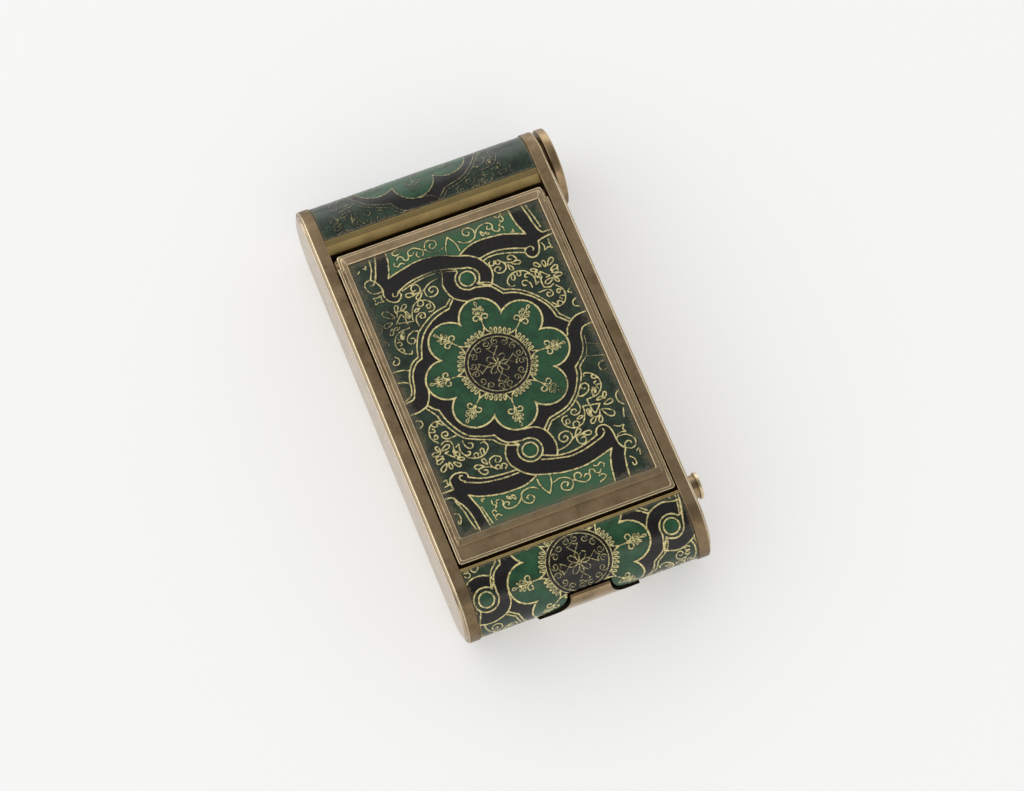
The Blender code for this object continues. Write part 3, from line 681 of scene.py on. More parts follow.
BAND_HIGH_RIGHT = [
    (2.3, 22.4), (2.3, 22.4), (3.9, 22.95), (5.5, 23.1), (7.5, 23), (9.1, 22.8), (10.5, 22.4), (11.9, 21.9),
    (13.25, 21.35), (13.25, 21.35), (12.7, 22.8), (12.3, 24.2), (12.05, 26.3), (12, 28), (12, 28), (14.3, 28),
    (14.3, 28), (14.6, 25.9), (14.9, 24.6), (15.1, 23.2), (15.5, 21.6), (15.9, 20.8), (16.6, 20.6), (19.5, 20.7),
    (19.5, 20.7), (19.5, 19.8), (19.5, 19.8), (16.6, 19.7), (14.75, 19.3), (14.75, 19.3), (14.6, 18.4),
    (14.2, 17.4), (13.5, 16.75), (12.6, 16.75), (12, 17.4), (11.9, 18.2), (12.2, 18.75), (12.2, 18.75),
    (10.3, 19.5), (8.5, 20), (7.1, 20.2), (5.5, 20.1), (4.1, 19.8), (4.1, 19.8), (3.1, 20.6), (2.1, 21.2),
    (0.9, 21.6), (0.9, 21.6)
]

FIELD_LOW = [
    (-13.6, -20.7), (-12.2, -21.5), (-10.2, -22.1), (-8.2, -22.5), (-6.2, -22.6), (-4.2, -22.5), (-2.6, -22),
    (-1.6, -21.5), (-1, -21.6), (1.1, -22.2), (2.7, -22.6), (4.7, -22.8), (6.7, -22.8), (8.5, -22.5), (10.3, -22),
    (12.1, -21.5), (12.1, -21.5), (11.5, -22.5), (11, -23.9), (10.7, -25.1), (10.3, -28), (10.3, -28), (-12, -28),
    (-12, -28), (-12.5, -24.9), (-12.7, -23.5), (-13.1, -22.3), (-13.6, -20.7)
]

FIELD_HIGH = [
    (-12, 22), (-11.5, 23), (-11.15, 24.2), (-10.9, 25.2), (-10.7, 28), (-10.7, 28), (12, 28), (12, 28),
    (12.05, 26.3), (12.3, 24.2), (12.7, 22.8), (13.25, 21.35), (13.25, 21.35), (11.9, 21.9), (10.5, 22.4),
    (9.1, 22.8), (7.5, 23), (5.5, 23.1), (3.9, 22.95), (2.3, 22.4), (0.9, 21.7), (-0.2, 22), (-1.2, 22.5),
    (-2.6, 22.95), (-4.2, 23.2), (-6.2, 23.3), (-8.2, 22.95), (-10.2, 22.5), (-12, 22)
]

# Second lines beside the straps
SIDE_LINES = [
    [(-9.4, -11.3), (-8.2, -11.9), (-7, -12.4), (-6.1, -12.8), (-5.4, -13.7), (-4.6, -14.3), (-3.6, -14.8),
     (-2.2, -15.25)],
    [(-14.6, -3.3), (-13.9, -4.3), (-13.3, -5.4), (-13, -6.6), (-12.2, -8.2), (-11.4, -9.6), (-10.5, -10.7),
     (-9.4, -11.3)],
    [(3.2, -14.5), (4.5, -13.1), (4.5, -13.1), (5.5, -12.9), (7.1, -12.5), (8.3, -12), (9.5, -11.1),
     (10.4, -10.2), (11.6, -8.4), (12.4, -6.8), (12.6, -5.6), (12.6, -5.6), (13.3, -4.9), (14.2, -4.2),
     (14.9, -3), (15.3, -1.8), (15.5, -0.4)],
    [(14.4, 3.5), (13.1, 5), (13.1, 5), (12.8, 6.2), (12.3, 7.4), (11.5, 8.7), (10.4, 10), (8.9, 11.4),
     (7.3, 12.3), (5.9, 12.75), (5.9, 12.75), (5.2, 13.6), (4.4, 14.6), (3.5, 15.2), (2, 15.6)],
    [(-3.5, 14.5), (-4.6, 13.5), (-4.6, 13.5), (-6.2, 13.2), (-7.4, 12.8), (-8.8, 12), (-9.8, 11.3),
     (-10.9, 10.3), (-11.9, 8.3), (-12.3, 7), (-12.5, 6.2), (-12.5, 6.2), (-13.7, 5.6), (-14.6, 4.5),
     (-15.2, 3.2), (-15.5, 2), (-15.7, 0.8), (-16.2, -0.1), (-17.5, -0.8)],
    [(-13.4, -18.2), (-12.2, -18.8), (-10.6, -19.4), (-9, -19.7), (-7, -19.95), (-4.3, -19.95)],
    [(0.3, -19.1), (1.5, -19.5), (3.5, -20), (5.1, -20.3), (6.7, -20.2), (8.3, -19.9), (10.3, -19.3),
     (11.4, -18.9), (12.1, -18.2), (12, -17.6)],
    [(-10.6, 18.9), (-9.6, 19.2), (-8.2, 19.6), (-6.2, 19.9), (-4.2, 19.95), (-2.2, 19.55), (-0.8, 19.1)],
    [(4.6, 19.2), (5.5, 19.5), (7.1, 19.5), (8.5, 19.2), (10.1, 18.7), (11.7, 18.1)],
    [(-15.8, -20.9), (-16.1, -21.1), (-15.7, -22.1), (-15.3, -23.5), (-15.1, -24.9), (-14.6, -27)],
    [(-13.9, 26.6), (-14.1, 24.8), (-14.6, 23.6), (-15, 22.8)],
    [(15.2, 26.6), (15.7, 24.2), (16, 22.6), (16.1, 21.6)],
    [(-12.3, -23.5), (-12, -25), (-11.6, -27)],
    [(-14.2, -2.8), (-13.4, -1.5), (-13.05, -0.4)],
    [(2.7, -14.1), (1.7, -13.3), (0.7, -12.95), (-0.5, -12.85)],
    [(14.2, 2.9), (13.3, 1.9), (12.9, 0.8)],
    [(-2.9, 14.4), (-1.8, 13.5), (-0.6, 12.95), (0.4, 12.9)],
    [(-17.5, 5), (-16, 4.9), (-14.9, 4.4)],
    [(14.6, -4.1), (15.5, -4.4), (17.5, -5)],
    [(-17.5, 2.9), (-16.3, 2.6), (-15.6, 2)],
    [(17.5, -2.8), (16.5, -2.4), (15.6, -1.9)],
]

# Curls at the straps' ends and near the side edges
CURLS = [
    [(-13.2, -18.1), (-13.7, -17.8), (-13.95, -17.3), (-13.7, -16.9), (-13.3, -17)],
    [(13.45, -19.95), (14.3, -19.85), (15.3, -20), (16.1, -20.7), (16.4, -21.5), (16.1, -22.4), (15.3, -22.7),
     (14.5, -22.3), (14.4, -21.7), (14.9, -21.25), (15.5, -21.35), (15.6, -21.8)],
    [(-13.65, 20.1), (-14.8, 20), (-15.7, 20.4), (-16.2, 21.2), (-16.3, 22.2), (-15.8, 22.75), (-15, 22.75),
     (-14.5, 22.2), (-14.9, 21.7), (-15.4, 21.75)],
    [(-11.3, 19), (-11.8, 18.3), (-12.4, 18.5), (-12.3, 19)],
    [(12.2, 18.75), (13.1, 18.8), (13.5, 18.3), (13.2, 17.9)],
    [(-16.8, -16.9), (-16.1, -16.8), (-16.2, -17.4), (-16, -17.8), (-16.8, -17.9)],
    [(14, -17.8), (14.8, -18.2), (15.6, -18.2), (15.2, -18.8), (15.5, -19.5), (14.8, -19.3), (14, -19.5)],
    [(-15.8, 19.4), (-15, 19.2), (-14.3, 19.4), (-14.5, 18.8), (-14.3, 18.1), (-15.1, 18.3), (-15.8, 18),
     (-15.6, 18.7), (-15.8, 19.4)],
    [(15.1, 18.8), (15.4, 18), (15.2, 17.3), (16, 17.6), (16.6, 17.2), (16.4, 18.1), (16.5, 19)],
    [(-16.2, 7.6), (-15.7, 7.1), (-15.8, 6.4), (-16.5, 6.1), (-16.9, 6.6), (-16.5, 7)],
    [(-17, -4.8), (-16.3, -5.1), (-16.2, -5.9), (-16.9, -6.3)],
    [(16.8, 6.8), (16.1, 6.4), (16, 5.6), (16.9, 5.1)],
    [(16.9, -5.8), (16, -6), (15.7, -6.8), (16, -7.5), (16.6, -7.5)],
    [(17.2, -11.9), (16.4, -12.6), (16.4, -13.9), (17.1, -14.7)],
    [(-16.9, 14.4), (-16.3, 14), (-16.4, 13.1), (-16.8, 12.7)],
    [(-16.9, 10.9), (-16.4, 10.6), (-16.4, 10)],
    [(16.7, -15.3), (16.4, -16.2), (16.2, -16.9)],
    [(16.4, 8.9), (16, 8.4), (16.5, 8)],
    [(-17, -23), (-16.5, -23.3), (-16.3, -24), (-16.6, -24.9), (-17, -25), (-16.9, -24.4)],
    [(14.4, -24), (15, -24.7), (15, -25.6), (14.5, -25.7), (14.4, -25.2)],
    [(15.9, -23.4), (16.4, -23.2), (16.2, -24.3)],
    [(-15.4, 25.3), (-15, 25), (-14.9, 25.6)],
    [(-16.6, 24.7), (-16.2, 25)],
]

# Sprays of the lower half, drawn again half a turn round in the upper half
SPRAYS = [
    [(-12.9, -10.4), (-12.8, -11.4), (-13.1, -12.5), (-13.25, -13.5), (-13.25, -13.5), (-14.6, -12.1),
     (-14.6, -12.1), (-13.9, -12)],
    [(-13, -13.1), (-12.6, -12.5), (-12.3, -13.1), (-12.6, -13.6), (-13, -13.1)],
    [(-12.4, -11.7), (-11.8, -11.4), (-11.8, -11.4), (-12, -12.6), (-11.6, -13.6), (-11, -14.4), (-9.8, -14.9),
     (-8.6, -14.8), (-7.8, -14.3), (-7.3, -13.5), (-7.6, -12.6), (-8.3, -12.5)],
    [(-11, -11.1), (-10.95, -11.9), (-10.5, -12.7), (-9.9, -12.8), (-9.6, -12.4), (-9.8, -11.9), (-10.2, -11.8)],
    [(-10, -14.8), (-10.1, -14.2), (-9.7, -13.9), (-9.4, -14.2), (-9.5, -14.6)],
    [(-8.8, -14.7), (-8.9, -14), (-8.5, -13.5), (-8.2, -13.9), (-8.4, -14.4)],
    [(-11.5, -13.7), (-10.8, -13.9), (-10.5, -13.4), (-10.9, -13.2)],
    [(-13.1, -6.3), (-14.2, -6.1), (-15.2, -6.6), (-15.8, -7.8), (-15.7, -9), (-14.9, -10)],
    [(-15.6, -8.9), (-14.9, -9.2), (-14.6, -8.8), (-14.9, -8.4), (-15.2, -8.7)],
    [(-15.6, -7.6), (-14.9, -7.9), (-14.7, -7.5), (-15, -7.2)],
    [(-14.9, -6.5), (-14.5, -7), (-14, -7), (-14, -6.6)],
    [(-14, -6.2), (-13.5, -6.7), (-13.1, -7.2)],
    [(-11.7, -9.75), (-13.2, -9.8), (-13.9, -9.2), (-13.8, -8.55), (-13.1, -8.4), (-12.8, -8.9), (-13.2, -9.25),
     (-13.45, -9)],
    [(-14.6, -10.4), (-14, -10.1), (-13.3, -10.2), (-12.9, -10.4)],
    [(10.4, -12.5), (10.3, -13.5), (9.7, -14.9), (8.9, -15.6), (7.9, -15.8), (6.9, -15.4), (6.2, -14.6),
     (6.1, -13.7), (6.6, -13.2), (7.3, -13.25)],
    [(10.4, -12.5), (10.4, -12.5), (13.3, -13.1), (13.3, -13.1), (12.5, -14), (11.9, -14.4), (11.6, -13.4),
     (11.5, -11.6), (11.5, -11.6), (13.1, -11.5), (14.1, -11), (14.8, -9.9), (14.8, -8.6), (14, -7.4),
     (12.9, -6.9), (12.6, -7.4)],
    [(9.8, -11.3), (9.9, -12.5), (9.5, -13.3), (8.7, -13.6), (8.1, -13.2), (8.3, -12.55), (8.9, -12.55),
     (9.05, -13), (8.7, -13.1)],
    [(6.6, -14.7), (6.7, -14), (7.2, -13.9), (7.3, -14.5), (6.9, -14.6)],
    [(7.6, -15.6), (7.7, -14.9), (8.3, -14.7), (8.7, -15.1), (8.5, -15.5)],
    [(8.6, -14.4), (9.2, -14), (9.7, -14.2), (9.2, -14.5), (8.6, -14.4)],
    [(10.9, -13.6), (11.4, -15), (12.4, -15.1), (12.8, -14.2)],
    [(11.3, -10.8), (10.5, -10.6), (10.4, -10.2)],
    [(10.5, -10.6), (11.6, -10.6), (12.4, -10.1), (12.7, -9.2), (12.2, -8.6), (11.5, -8.8), (11.5, -9.5),
     (12, -9.6)],
    [(14.5, -9.7), (13.9, -9.6), (13.8, -9.1), (14.2, -9)],
    [(14.6, -8.4), (14, -8.4), (13.8, -7.9), (14.1, -7.7)],
    [(13.3, -10.9), (13.4, -10.2), (13.9, -10), (14.1, -10.5)],
    [(-7.3, -18.1), (-8, -17.3), (-8.2, -16.5), (-7.8, -15.85), (-7, -15.6), (-6.2, -16), (-6.1, -16.6),
     (-6.7, -16.95), (-7.2, -16.55), (-6.9, -16.2)],
    [(-8.1, -17.3), (-9.2, -16.9), (-10.3, -17), (-10.3, -17.5), (-9.8, -18.15), (-9.1, -18.1), (-9, -17.6),
     (-9.5, -17.4)],
    [(-7.6, -17.8), (-7.2, -17.3), (-6.7, -17.6), (-6.9, -18.1)],
    [(-6.6, -18.2), (-6.3, -17.5), (-5.8, -17.5), (-5.6, -18), (-6, -18.4)],
    [(3.3, -18.6), (4.5, -18.5), (5.7, -18.1), (6.7, -17.4), (7.9, -17.3), (8.9, -17.3)],
    [(6.6, -17.5), (6.7, -16.7), (6.4, -16), (5.6, -15.7), (4.7, -16), (4.4, -16.8), (4.8, -17.4), (5.5, -17.45),
     (5.9, -16.95), (5.5, -16.5), (5.2, -16.8)],
    [(7.3, -17.4), (7.2, -18.2), (7.6, -18.9), (8.3, -18.9), (8.7, -18.3), (8.5, -17.8), (8, -17.9)],
    [(0.7, -23.7), (1.9, -23.4), (3.1, -23.8), (3.7, -24.7), (3.3, -25.7), (2.5, -26), (1.6, -25.5),
     (1.6, -24.7), (2.3, -24.3), (2.9, -24.7), (2.5, -25.2)],
    [(3.6, -24.3), (4.7, -25.1), (5.7, -25.6), (6.6, -25.3), (6.8, -24.6), (6.2, -24.3), (5.8, -24.7)],
    [(4.3, -24.8), (4.2, -24.2), (4.5, -23.6), (5.2, -23.6), (5.5, -24.2), (5.1, -24.6)],
    [(6.8, -24.5), (7.2, -23.8), (7.8, -24), (7.9, -24.6), (8.5, -24.9), (9, -24.4)],
    [(8.2, -25.4), (8.9, -25.3), (9.4, -25.8), (8.9, -26.2), (8, -26.5)],
    [(8, -23.3), (8.6, -23.6), (9.3, -23.2), (9.8, -23.6), (9.6, -24.1)],
    [(-2.2, -23.9), (-3, -23.3), (-4.2, -23.2), (-5.2, -23.7), (-5.4, -24.9), (-4.8, -25.7), (-3.9, -25.8),
     (-3.4, -25.1), (-3.9, -24.4), (-4.6, -24.6), (-4.4, -25)],
    [(-5.4, -24.2), (-6.2, -25.1), (-7.4, -25.5), (-8.4, -25.3), (-8.8, -24.6), (-8.3, -24.1), (-7.7, -24.4),
     (-7.9, -24.8)],
    [(-8.8, -24.4), (-8.6, -23.8), (-9.1, -23.3), (-9.7, -23.4), (-9.7, -23.9)],
    [(-10.4, -23), (-10.4, -23.7), (-9.9, -24.2), (-10.2, -24.5)],
    [(-10.9, -25.8), (-11, -25), (-10.5, -24.8), (-10.3, -25.2)],
    [(-11.8, -22.7), (-11.9, -22.2), (-11.4, -22.3)],
    [(-10.6, -26.7), (-10.9, -26.2), (-10.2, -25.7), (-9.7, -26.2)],
    [(-1.8, -22.2), (-1.7, -23.4), (-1.3, -24.4), (-0.7, -25.4)],
    [(0.5, -22.4), (0.3, -23.6), (-0.2, -24.6), (-0.7, -25.4)],
]

# Leaves of the sprays: place, bearing and length
SPRAY_LEAVES = [
    (-15.2, -11.6, 112, 1.2), (-14.9, -11.5, 20, 1.6), (-15.2, -11.8, 178, 1.5), (-15.1, -12.5, 188, 1.3),
    (-15.1, -13, 197, 1.5), (-15, -14, 222, 1.7), (-14.5, -13.9, 271, 1.3), (-13.8, -14.2, 312, 1.4),
    (-13, -13.8, 338, 1.2), (-12.9, -12.9, 100, 0.8), (14.3, -12.5, 62, 1.3), (13.9, -13.5, 10, 1.7),
    (13.2, -14.2, -45, 2.4), (12.7, -15.1, 246, 1.4), (11.8, -15.1, 216, 1.5), (11, -14.8, 92, 1.5),
    (13, -12.3, 8, 1.1), (12.8, -11.3, 65, 1.2), (13.4, -10.9, 95, 1), (-8.6, -16.6, 112, 1.3),
    (-9.3, -16.7, 168, 1.6), (7.2, -17.1, 36, 1.5), (8.3, -17.25, -8, 1.7), (-6.4, -24.3, 112, 1),
    (-7.2, -23.9, 130, 0.8)
]

# Round eyes between the straps: place, green radius and ring radius
EYES = [(-0.9, -16.75, 1.35, 2.15), (0.7, 17.0, 1.4, 2.1)]

# Middle of the rosette on the lid, and how far it is turned, in degrees
CENTRE = np.array((-0.2, 0.15))
TILT = -2.0


def smooth(points, closed=False, steps=6):
    """Catmull-Rom curve through points; a point given twice in a row is a corner."""
    points = np.asarray(points, float)
    if closed:
        points = np.concatenate([points, points[:1]])
    same = np.flatnonzero(np.all(points[1:] == points[:-1], axis=1))
    parts = []
    for part in np.split(points, same + 1):
        if len(part) < 2:
            continue
        wrap = closed and not len(same)
        before = part[-2] if wrap else 2 * part[0] - part[1]
        after = part[1] if wrap else 2 * part[-1] - part[-2]
        p = np.concatenate([[before], part, [after]])
        t = np.linspace(0, 1, steps, endpoint=False)[:, None, None]
        a, b, c, d = p[:-3], p[1:-2], p[2:-1], p[3:]
        q = 0.5 * (2 * b + (c - a) * t + (2 * a - 5 * b + 4 * c - d) * t ** 2 + (3 * b - a - 3 * c + d) * t ** 3)
        parts += [q.transpose(1, 0, 2).reshape(-1, 2), part[-1:]]
    return np.concatenate(parts)


def spiral(x, y, outer, inner, start, turns, steps):
    """Curl whose radius goes evenly from outer to inner as it turns; turns below nought go clockwise."""
    share = np.linspace(0, 1, steps)
    angle = math.radians(start) + 2 * math.pi * turns * share
    radius = outer + (inner - outer) * share
    return np.stack([x + radius * np.cos(angle), y + radius * np.sin(angle)], axis=1)


def leaf(x, y, bearing, size, width=0.32, steps=16):
    """Closed teardrop with its tip at (x, y): one turn whose side swing grows along it."""
    turn = np.linspace(0, 2 * math.pi, steps + 1)
    share = (1 - np.cos(turn)) / 2
    side = width * size * np.sin(turn) * (0.35 + 0.65 * share)
    return rotated(np.stack([size * share, side], axis=1), bearing) + (x, y)


def rotated(points, degrees):
    """Points turned about the origin."""
    c, s = math.cos(math.radians(degrees)), math.sin(math.radians(degrees))
    points = np.asarray(points, float)
    return np.stack([points[:, 0] * c - points[:, 1] * s, points[:, 0] * s + points[:, 1] * c], axis=1)


def line_distance(px, py, line):
    """Distance from each point to the nearest place of a polyline."""
    a, b = line[:-1], line[1:]
    ab = b - a
    dx, dy = px[:, None] - a[:, 0], py[:, None] - a[:, 1]
    share = np.clip((dx * ab[:, 0] + dy * ab[:, 1]) / np.maximum((ab ** 2).sum(1), 1e-12), 0, 1)
    return np.hypot(dx - share * ab[:, 0], dy - share * ab[:, 1]).min(1)


def inside(px, py, loop):
    """Whether points lie in a closed outline: a ray to the right crosses it an odd number of times."""
    a, b = loop, np.roll(loop, -1, 0)
    spans = (a[:, 1] > py[:, None]) != (b[:, 1] > py[:, None])
    rise = np.where(b[:, 1] == a[:, 1], 1.0, b[:, 1] - a[:, 1])
    cross = a[:, 0] + (py[:, None] - a[:, 1]) * (b[:, 0] - a[:, 0]) / rise
    return (spans & (px[:, None] < cross)).sum(1) % 2 == 1


class Canvas:
    """Points of one enamel face, in the drawing's millimetres, with the gold drawn on them so far."""

    def __init__(self, x, y):
        self.shape, self.x, self.y = x.shape, x.ravel(), y.ravel()
        self.gold = np.full(self.x.shape, -1.0)

    def near(self, line, margin):
        """Points in the box around a line."""
        low, high = line.min(0) - margin, line.max(0) + margin
        return np.flatnonzero((self.x > low[0]) & (self.x < high[0]) & (self.y > low[1]) & (self.y < high[1]))

    def stroke(self, line, half):
        """Raise the gold to its half width less the distance to the line."""
        for start in range(0, len(line) - 1, 40):
            part = line[start:start + 41]
            index = self.near(part, 0.5)
            if len(index):
                inside_by = half - line_distance(self.x[index], self.y[index], part)
                self.gold[index] = np.maximum(self.gold[index], inside_by)

    def region(self, outline):
        """Signed distance to a closed outline, positive inside, held to one millimetre either way."""
        loop = smooth(outline, True)
        sign, distance = np.full(self.x.shape, -1.0), np.full(self.x.shape, 1.0)
        index = self.near(loop, 0.0)
        if len(index):
            sign[index[inside(self.x[index], self.y[index], loop)]] = 1.0
        closed = np.concatenate([loop, loop[:1]])
        for start in range(0, len(closed) - 1, 40):
            part = closed[start:start + 41]
            index = self.near(part, 1.0)
            if len(index):
                distance[index] = np.minimum(distance[index], line_distance(self.x[index], self.y[index], part))
        return sign * distance


def rosette_lines():
    """Lines of the rosette about (0, 0): disc scrolls, kites, flower, fringe of loops and eight palmettes."""
    strong = [spiral(0, 0, 5.1, 5.1, 0, 1, 65), spiral(0, 0, 5.75, 5.75, 0, 1, 65)]
    fine, leaves, dark = [], [], []
    for i in range(16):
        angle = 22.5 * i + 11.25
        middle = rotated([(4.2, 0)], angle)[0]
        way = 1 if i % 2 else -1
        fine.append(spiral(middle[0], middle[1], 0.66, 0.2, angle + 20 * way, 1.15 * way, 18))
    for i in range(4):
        kite = [(1.9, 0), (3.2, 1.0), (3.2, 0.4), (3.75, 0.0), (3.2, -0.4), (3.2, -1.0), (1.9, 0)]
        fine.append(rotated(kite, 90 * i))
        fine.append(rotated(leaf(0.25, 0, 0, 1.55, 0.26), 90 * i))
        fine.append(rotated(leaf(0.2, 0, 0, 1.9, 0.34), 90 * i + 45))
    for i in range(8):
        angle = 45 * i
        for step in range(5):
            loop = spiral(0, 0, 1, 1, 0, 1, 13) * (0.5, 0.21) + (6.4, 0)
            fine.append(rotated(loop, angle + 8.5 + 7.0 * step))
        dark.append(rotated([(5.8, 0.6), (5.8, 0.6), (7.3, 0.0), (7.3, 0.0), (5.8, -0.6), (5.8, -0.6)], angle))
        strong.append(rotated([(5.95, 0.62), (6.6, 0.25), (7.3, 0.0), (6.6, -0.25), (5.95, -0.62)], angle))
        fine.append(rotated([(7.3, 0.0), (11.25, 0.0)], angle))
        for side in (-1, 1):
            strong.append(rotated(spiral(9.1, 0.82 * side, 0.7, 0.3, -115 * side, 0.95 * side, 18), angle))
            for reach, off, size in ((9.9, 0.22, 0.95), (10.65, 0.18, 0.75)):
                leaves.append(rotated(leaf(reach, off * side, 48 * side, size, 0.3), angle))
        leaves.append(rotated(leaf(11.3, 0.0, 0, 0.95, 0.3), angle))
    return strong, fine, leaves, dark


def drawing(x, y, plain=False):
    """Distances in millimetres inside each colour of the enamel, at points (x, y) of the lid's drawing."""
    canvas = Canvas(x, y)
    turned_x, turned_y = rotated(np.stack([canvas.x - CENTRE[0], canvas.y - CENTRE[1]], axis=1), -TILT).T
    radius = np.hypot(turned_x, turned_y)
    angle = np.arange(8) * math.pi / 4
    lobes = np.hypot(turned_x[:, None] - 9.1 * np.cos(angle), turned_y[:, None] - 9.1 * np.sin(angle)).min(1) - 3.72
    outside = np.minimum(lobes, radius - 8.8)
    green, gold = -outside, canvas.gold
    low_right = canvas.region(BAND_LOW_RIGHT)
    high_left = canvas.region(BAND_HIGH_LEFT)
    low_left = np.minimum(canvas.region(BAND_LOW_LEFT), -low_right)
    high_right = np.minimum(canvas.region(BAND_HIGH_RIGHT), -high_left)
    surround = np.minimum(canvas.region(SURROUND), outside)
    over = np.abs(canvas.y) < 16.9
    low_right, high_left = (np.where(over, np.minimum(band, -surround), band) for band in (low_right, high_left))
    bands = np.maximum.reduce([low_right, low_left, high_left, high_right])
    surround = np.where(over, surround, np.minimum(surround, -bands))
    straps = [surround] if plain else [surround, low_right, low_left, high_left, high_right]
    for eye_x, eye_y, _, ring in EYES:
        away = np.hypot(canvas.x - eye_x, canvas.y - eye_y) - ring
        straps = [np.minimum(strap, away) for strap in straps]
    for strap in straps:
        gold[:] = np.maximum(gold, np.where(outside > 0, 0.125 - np.abs(strap), -1))
    gold[:] = np.maximum(gold, 0.15 - np.abs(outside))
    black = np.maximum.reduce(straps)
    pale = np.maximum(canvas.region(FIELD_LOW), canvas.region(FIELD_HIGH))
    if not plain:
        for line in SIDE_LINES:
            canvas.stroke(smooth(line), 0.11)
        for line in CURLS:
            canvas.stroke(smooth(line), 0.1)
        for line in [smooth(line) for line in SPRAYS] + [leaf(*place_of) for place_of in SPRAY_LEAVES]:
            canvas.stroke(line, 0.108)
            canvas.stroke(rotated(line - CENTRE, 180) + CENTRE, 0.108)
        for eye_x, eye_y, size, ring in EYES:
            away = np.hypot(canvas.x - eye_x, canvas.y - eye_y)
            green = np.maximum(green, size - away)
            gold[:] = np.maximum(gold, 0.13 - np.abs(away - size))
    strong, fine, leaves, dark = rosette_lines()
    for lines, half in ((strong, 0.11), (fine, 0.09), (leaves, 0.078)):
        for line in lines:
            canvas.stroke(rotated(line, TILT) + CENTRE, half)
    centre = 5.9 - radius
    for loop in dark:
        centre = np.maximum(centre, canvas.region(rotated(loop, TILT) + CENTRE))
    black = np.maximum(centre, np.where(outside > 0, black, -1.0))
    faded = 0.3 * np.clip((6.3 - radius) / 0.8, 0, 1)
    fields = {"green": green, "black": black, "gold": gold, "pale": pale, "faded": faded}
    return {key: np.clip(value, -1, 1).reshape(canvas.shape) for key, value in fields.items()}


# Values of a face that carries no drawing
UNDRAWN = {"gold": -1.0, "green": -1.0, "pale": -1.0, "black": 1.0}


def flat_panel(low, high, spacing, face_up, values):
    """Panel whose drawn face is a grid of points in (x, y), with flat walls and a flat other face."""
    columns = np.linspace(low[0], high[0], int(round((high[0] - low[0]) / spacing)) + 1)
    rows = np.linspace(low[1], high[1], int(round((high[1] - low[1]) / spacing)) + 1)
    x, y = np.meshgrid(columns, rows)
    face, back = (high[2], low[2]) if face_up else (low[2], high[2])
    drawn = values(x, y)
    relief = drawn.pop("relief", np.zeros_like(x))
    z = face + relief * (1 if face_up else -1)
    top = np.stack([x, y, z], axis=-1)
    shape = Shape()
    shape.grid(top, **drawn)
    under = np.stack([x, y, np.full_like(x, back)], axis=-1)
    corners = under[[0, 0, -1, -1], [0, -1, -1, 0]]
    shape.polygon(corners, **UNDRAWN)
    for edge, ends in ((top[0], (under[0, -1], under[0, 0])), (top[:, -1], (under[-1, -1], under[0, -1])),
                       (top[-1, ::-1], (under[-1, 0], under[-1, -1])), (top[::-1, 0], (under[0, 0], under[-1, 0]))):
        shape.polygon(np.concatenate([edge, np.array(ends)]))
    return shape


def border_wear(x, y, low, high, reach=2.3):
    """Wear that grows from nought to one over the last stretch to a panel's edge."""
    gap = np.minimum(np.minimum(x - low[0], high[0] - x), np.minimum(y - low[1], high[1] - y))
    return np.clip(1 - gap / reach, 0, 1)


def soft_spot(x, y, centre, reach):
    """One in the middle of a round spot, easing to nought at its reach."""
    share = np.clip(1 - np.hypot(x - centre[0], y - centre[1]) / reach, 0, 1)
    return share * share * (3 - 2 * share)


# Places on the lid where the gold is thin: centre, reach and strength
THIN_GOLD = [((-3.0, 21.5), 5.0, 0.9), ((8.5, -8.0), 4.0, 0.5), ((16.0, -3.0), 5.0, 0.6), ((-17.0, 14.0), 9.0, 0.5)]


def lid_panel(context):
    """Drawn enamel panel of the lid, its border rubbed and its gold thin in a few places."""
    def values(x, y):
        drawn = drawing(x, y)
        drawn["wear"] = border_wear(x, y, PANEL_LOW, PANEL_HIGH)
        for centre, reach, strength in THIN_GOLD:
            drawn["faded"] = np.maximum(drawn["faded"], strength * soft_spot(x, y, centre, reach))
        drawn["relief"] = 0.015 * np.clip(drawn["gold"] / 0.1, -1, 1)
        return drawn
    shape = flat_panel(PANEL_LOW, PANEL_HIGH, 0.145, True, values)
    place(shape.finish("lid_panel", enamel(context)), "lid_panel", "lid", "enamel")


def back_panel(context):
    """Plainer enamel panel of the back."""
    def values(x, y):
        drawn = drawing(x, y - (BACK_LOW[1] + BACK_HIGH[1]) / 2, plain=True)
        drawn["wear"] = border_wear(x, y, BACK_LOW, BACK_HIGH)
        return drawn
    shape = flat_panel(BACK_LOW, BACK_HIGH, 0.2, False, values)
    place(shape.finish("back_panel", enamel(context)), "back_panel", "case", "enamel")


# Section of the plaques: where it starts, its radius and how long it is; and the bell of the thumb notch
PLAQUE_EDGE = 33.06
PLAQUE_RADIUS = TOP_HIGH[2] - MID_Z
PLAQUE_FLAT = END_Y - PLAQUE_EDGE
PLAQUE_LENGTH = 2 * PLAQUE_FLAT + math.pi * PLAQUE_RADIUS
NOTCH_TOP, NOTCH_HALF, NOTCH_FLARE, NOTCH_FLARE_LENGTH = 10.25, 4.0, 5.5, 8.64
NOTCH_SIDE = NOTCH_HALF + NOTCH_FLARE


def end_section(side, radius, distance):
    """Point of a plaque's section a distance along it from its upper edge: flat, half circle, flat."""
    turn = np.clip(distance - PLAQUE_FLAT, 0, math.pi * PLAQUE_RADIUS) / PLAQUE_RADIUS
    after = np.clip(distance - PLAQUE_FLAT - math.pi * PLAQUE_RADIUS, 0, None)
    y = PLAQUE_EDGE + np.clip(distance, 0, PLAQUE_FLAT) + radius * np.sin(turn) - after
    z = MID_Z + radius * np.cos(turn)
    return side * y, z


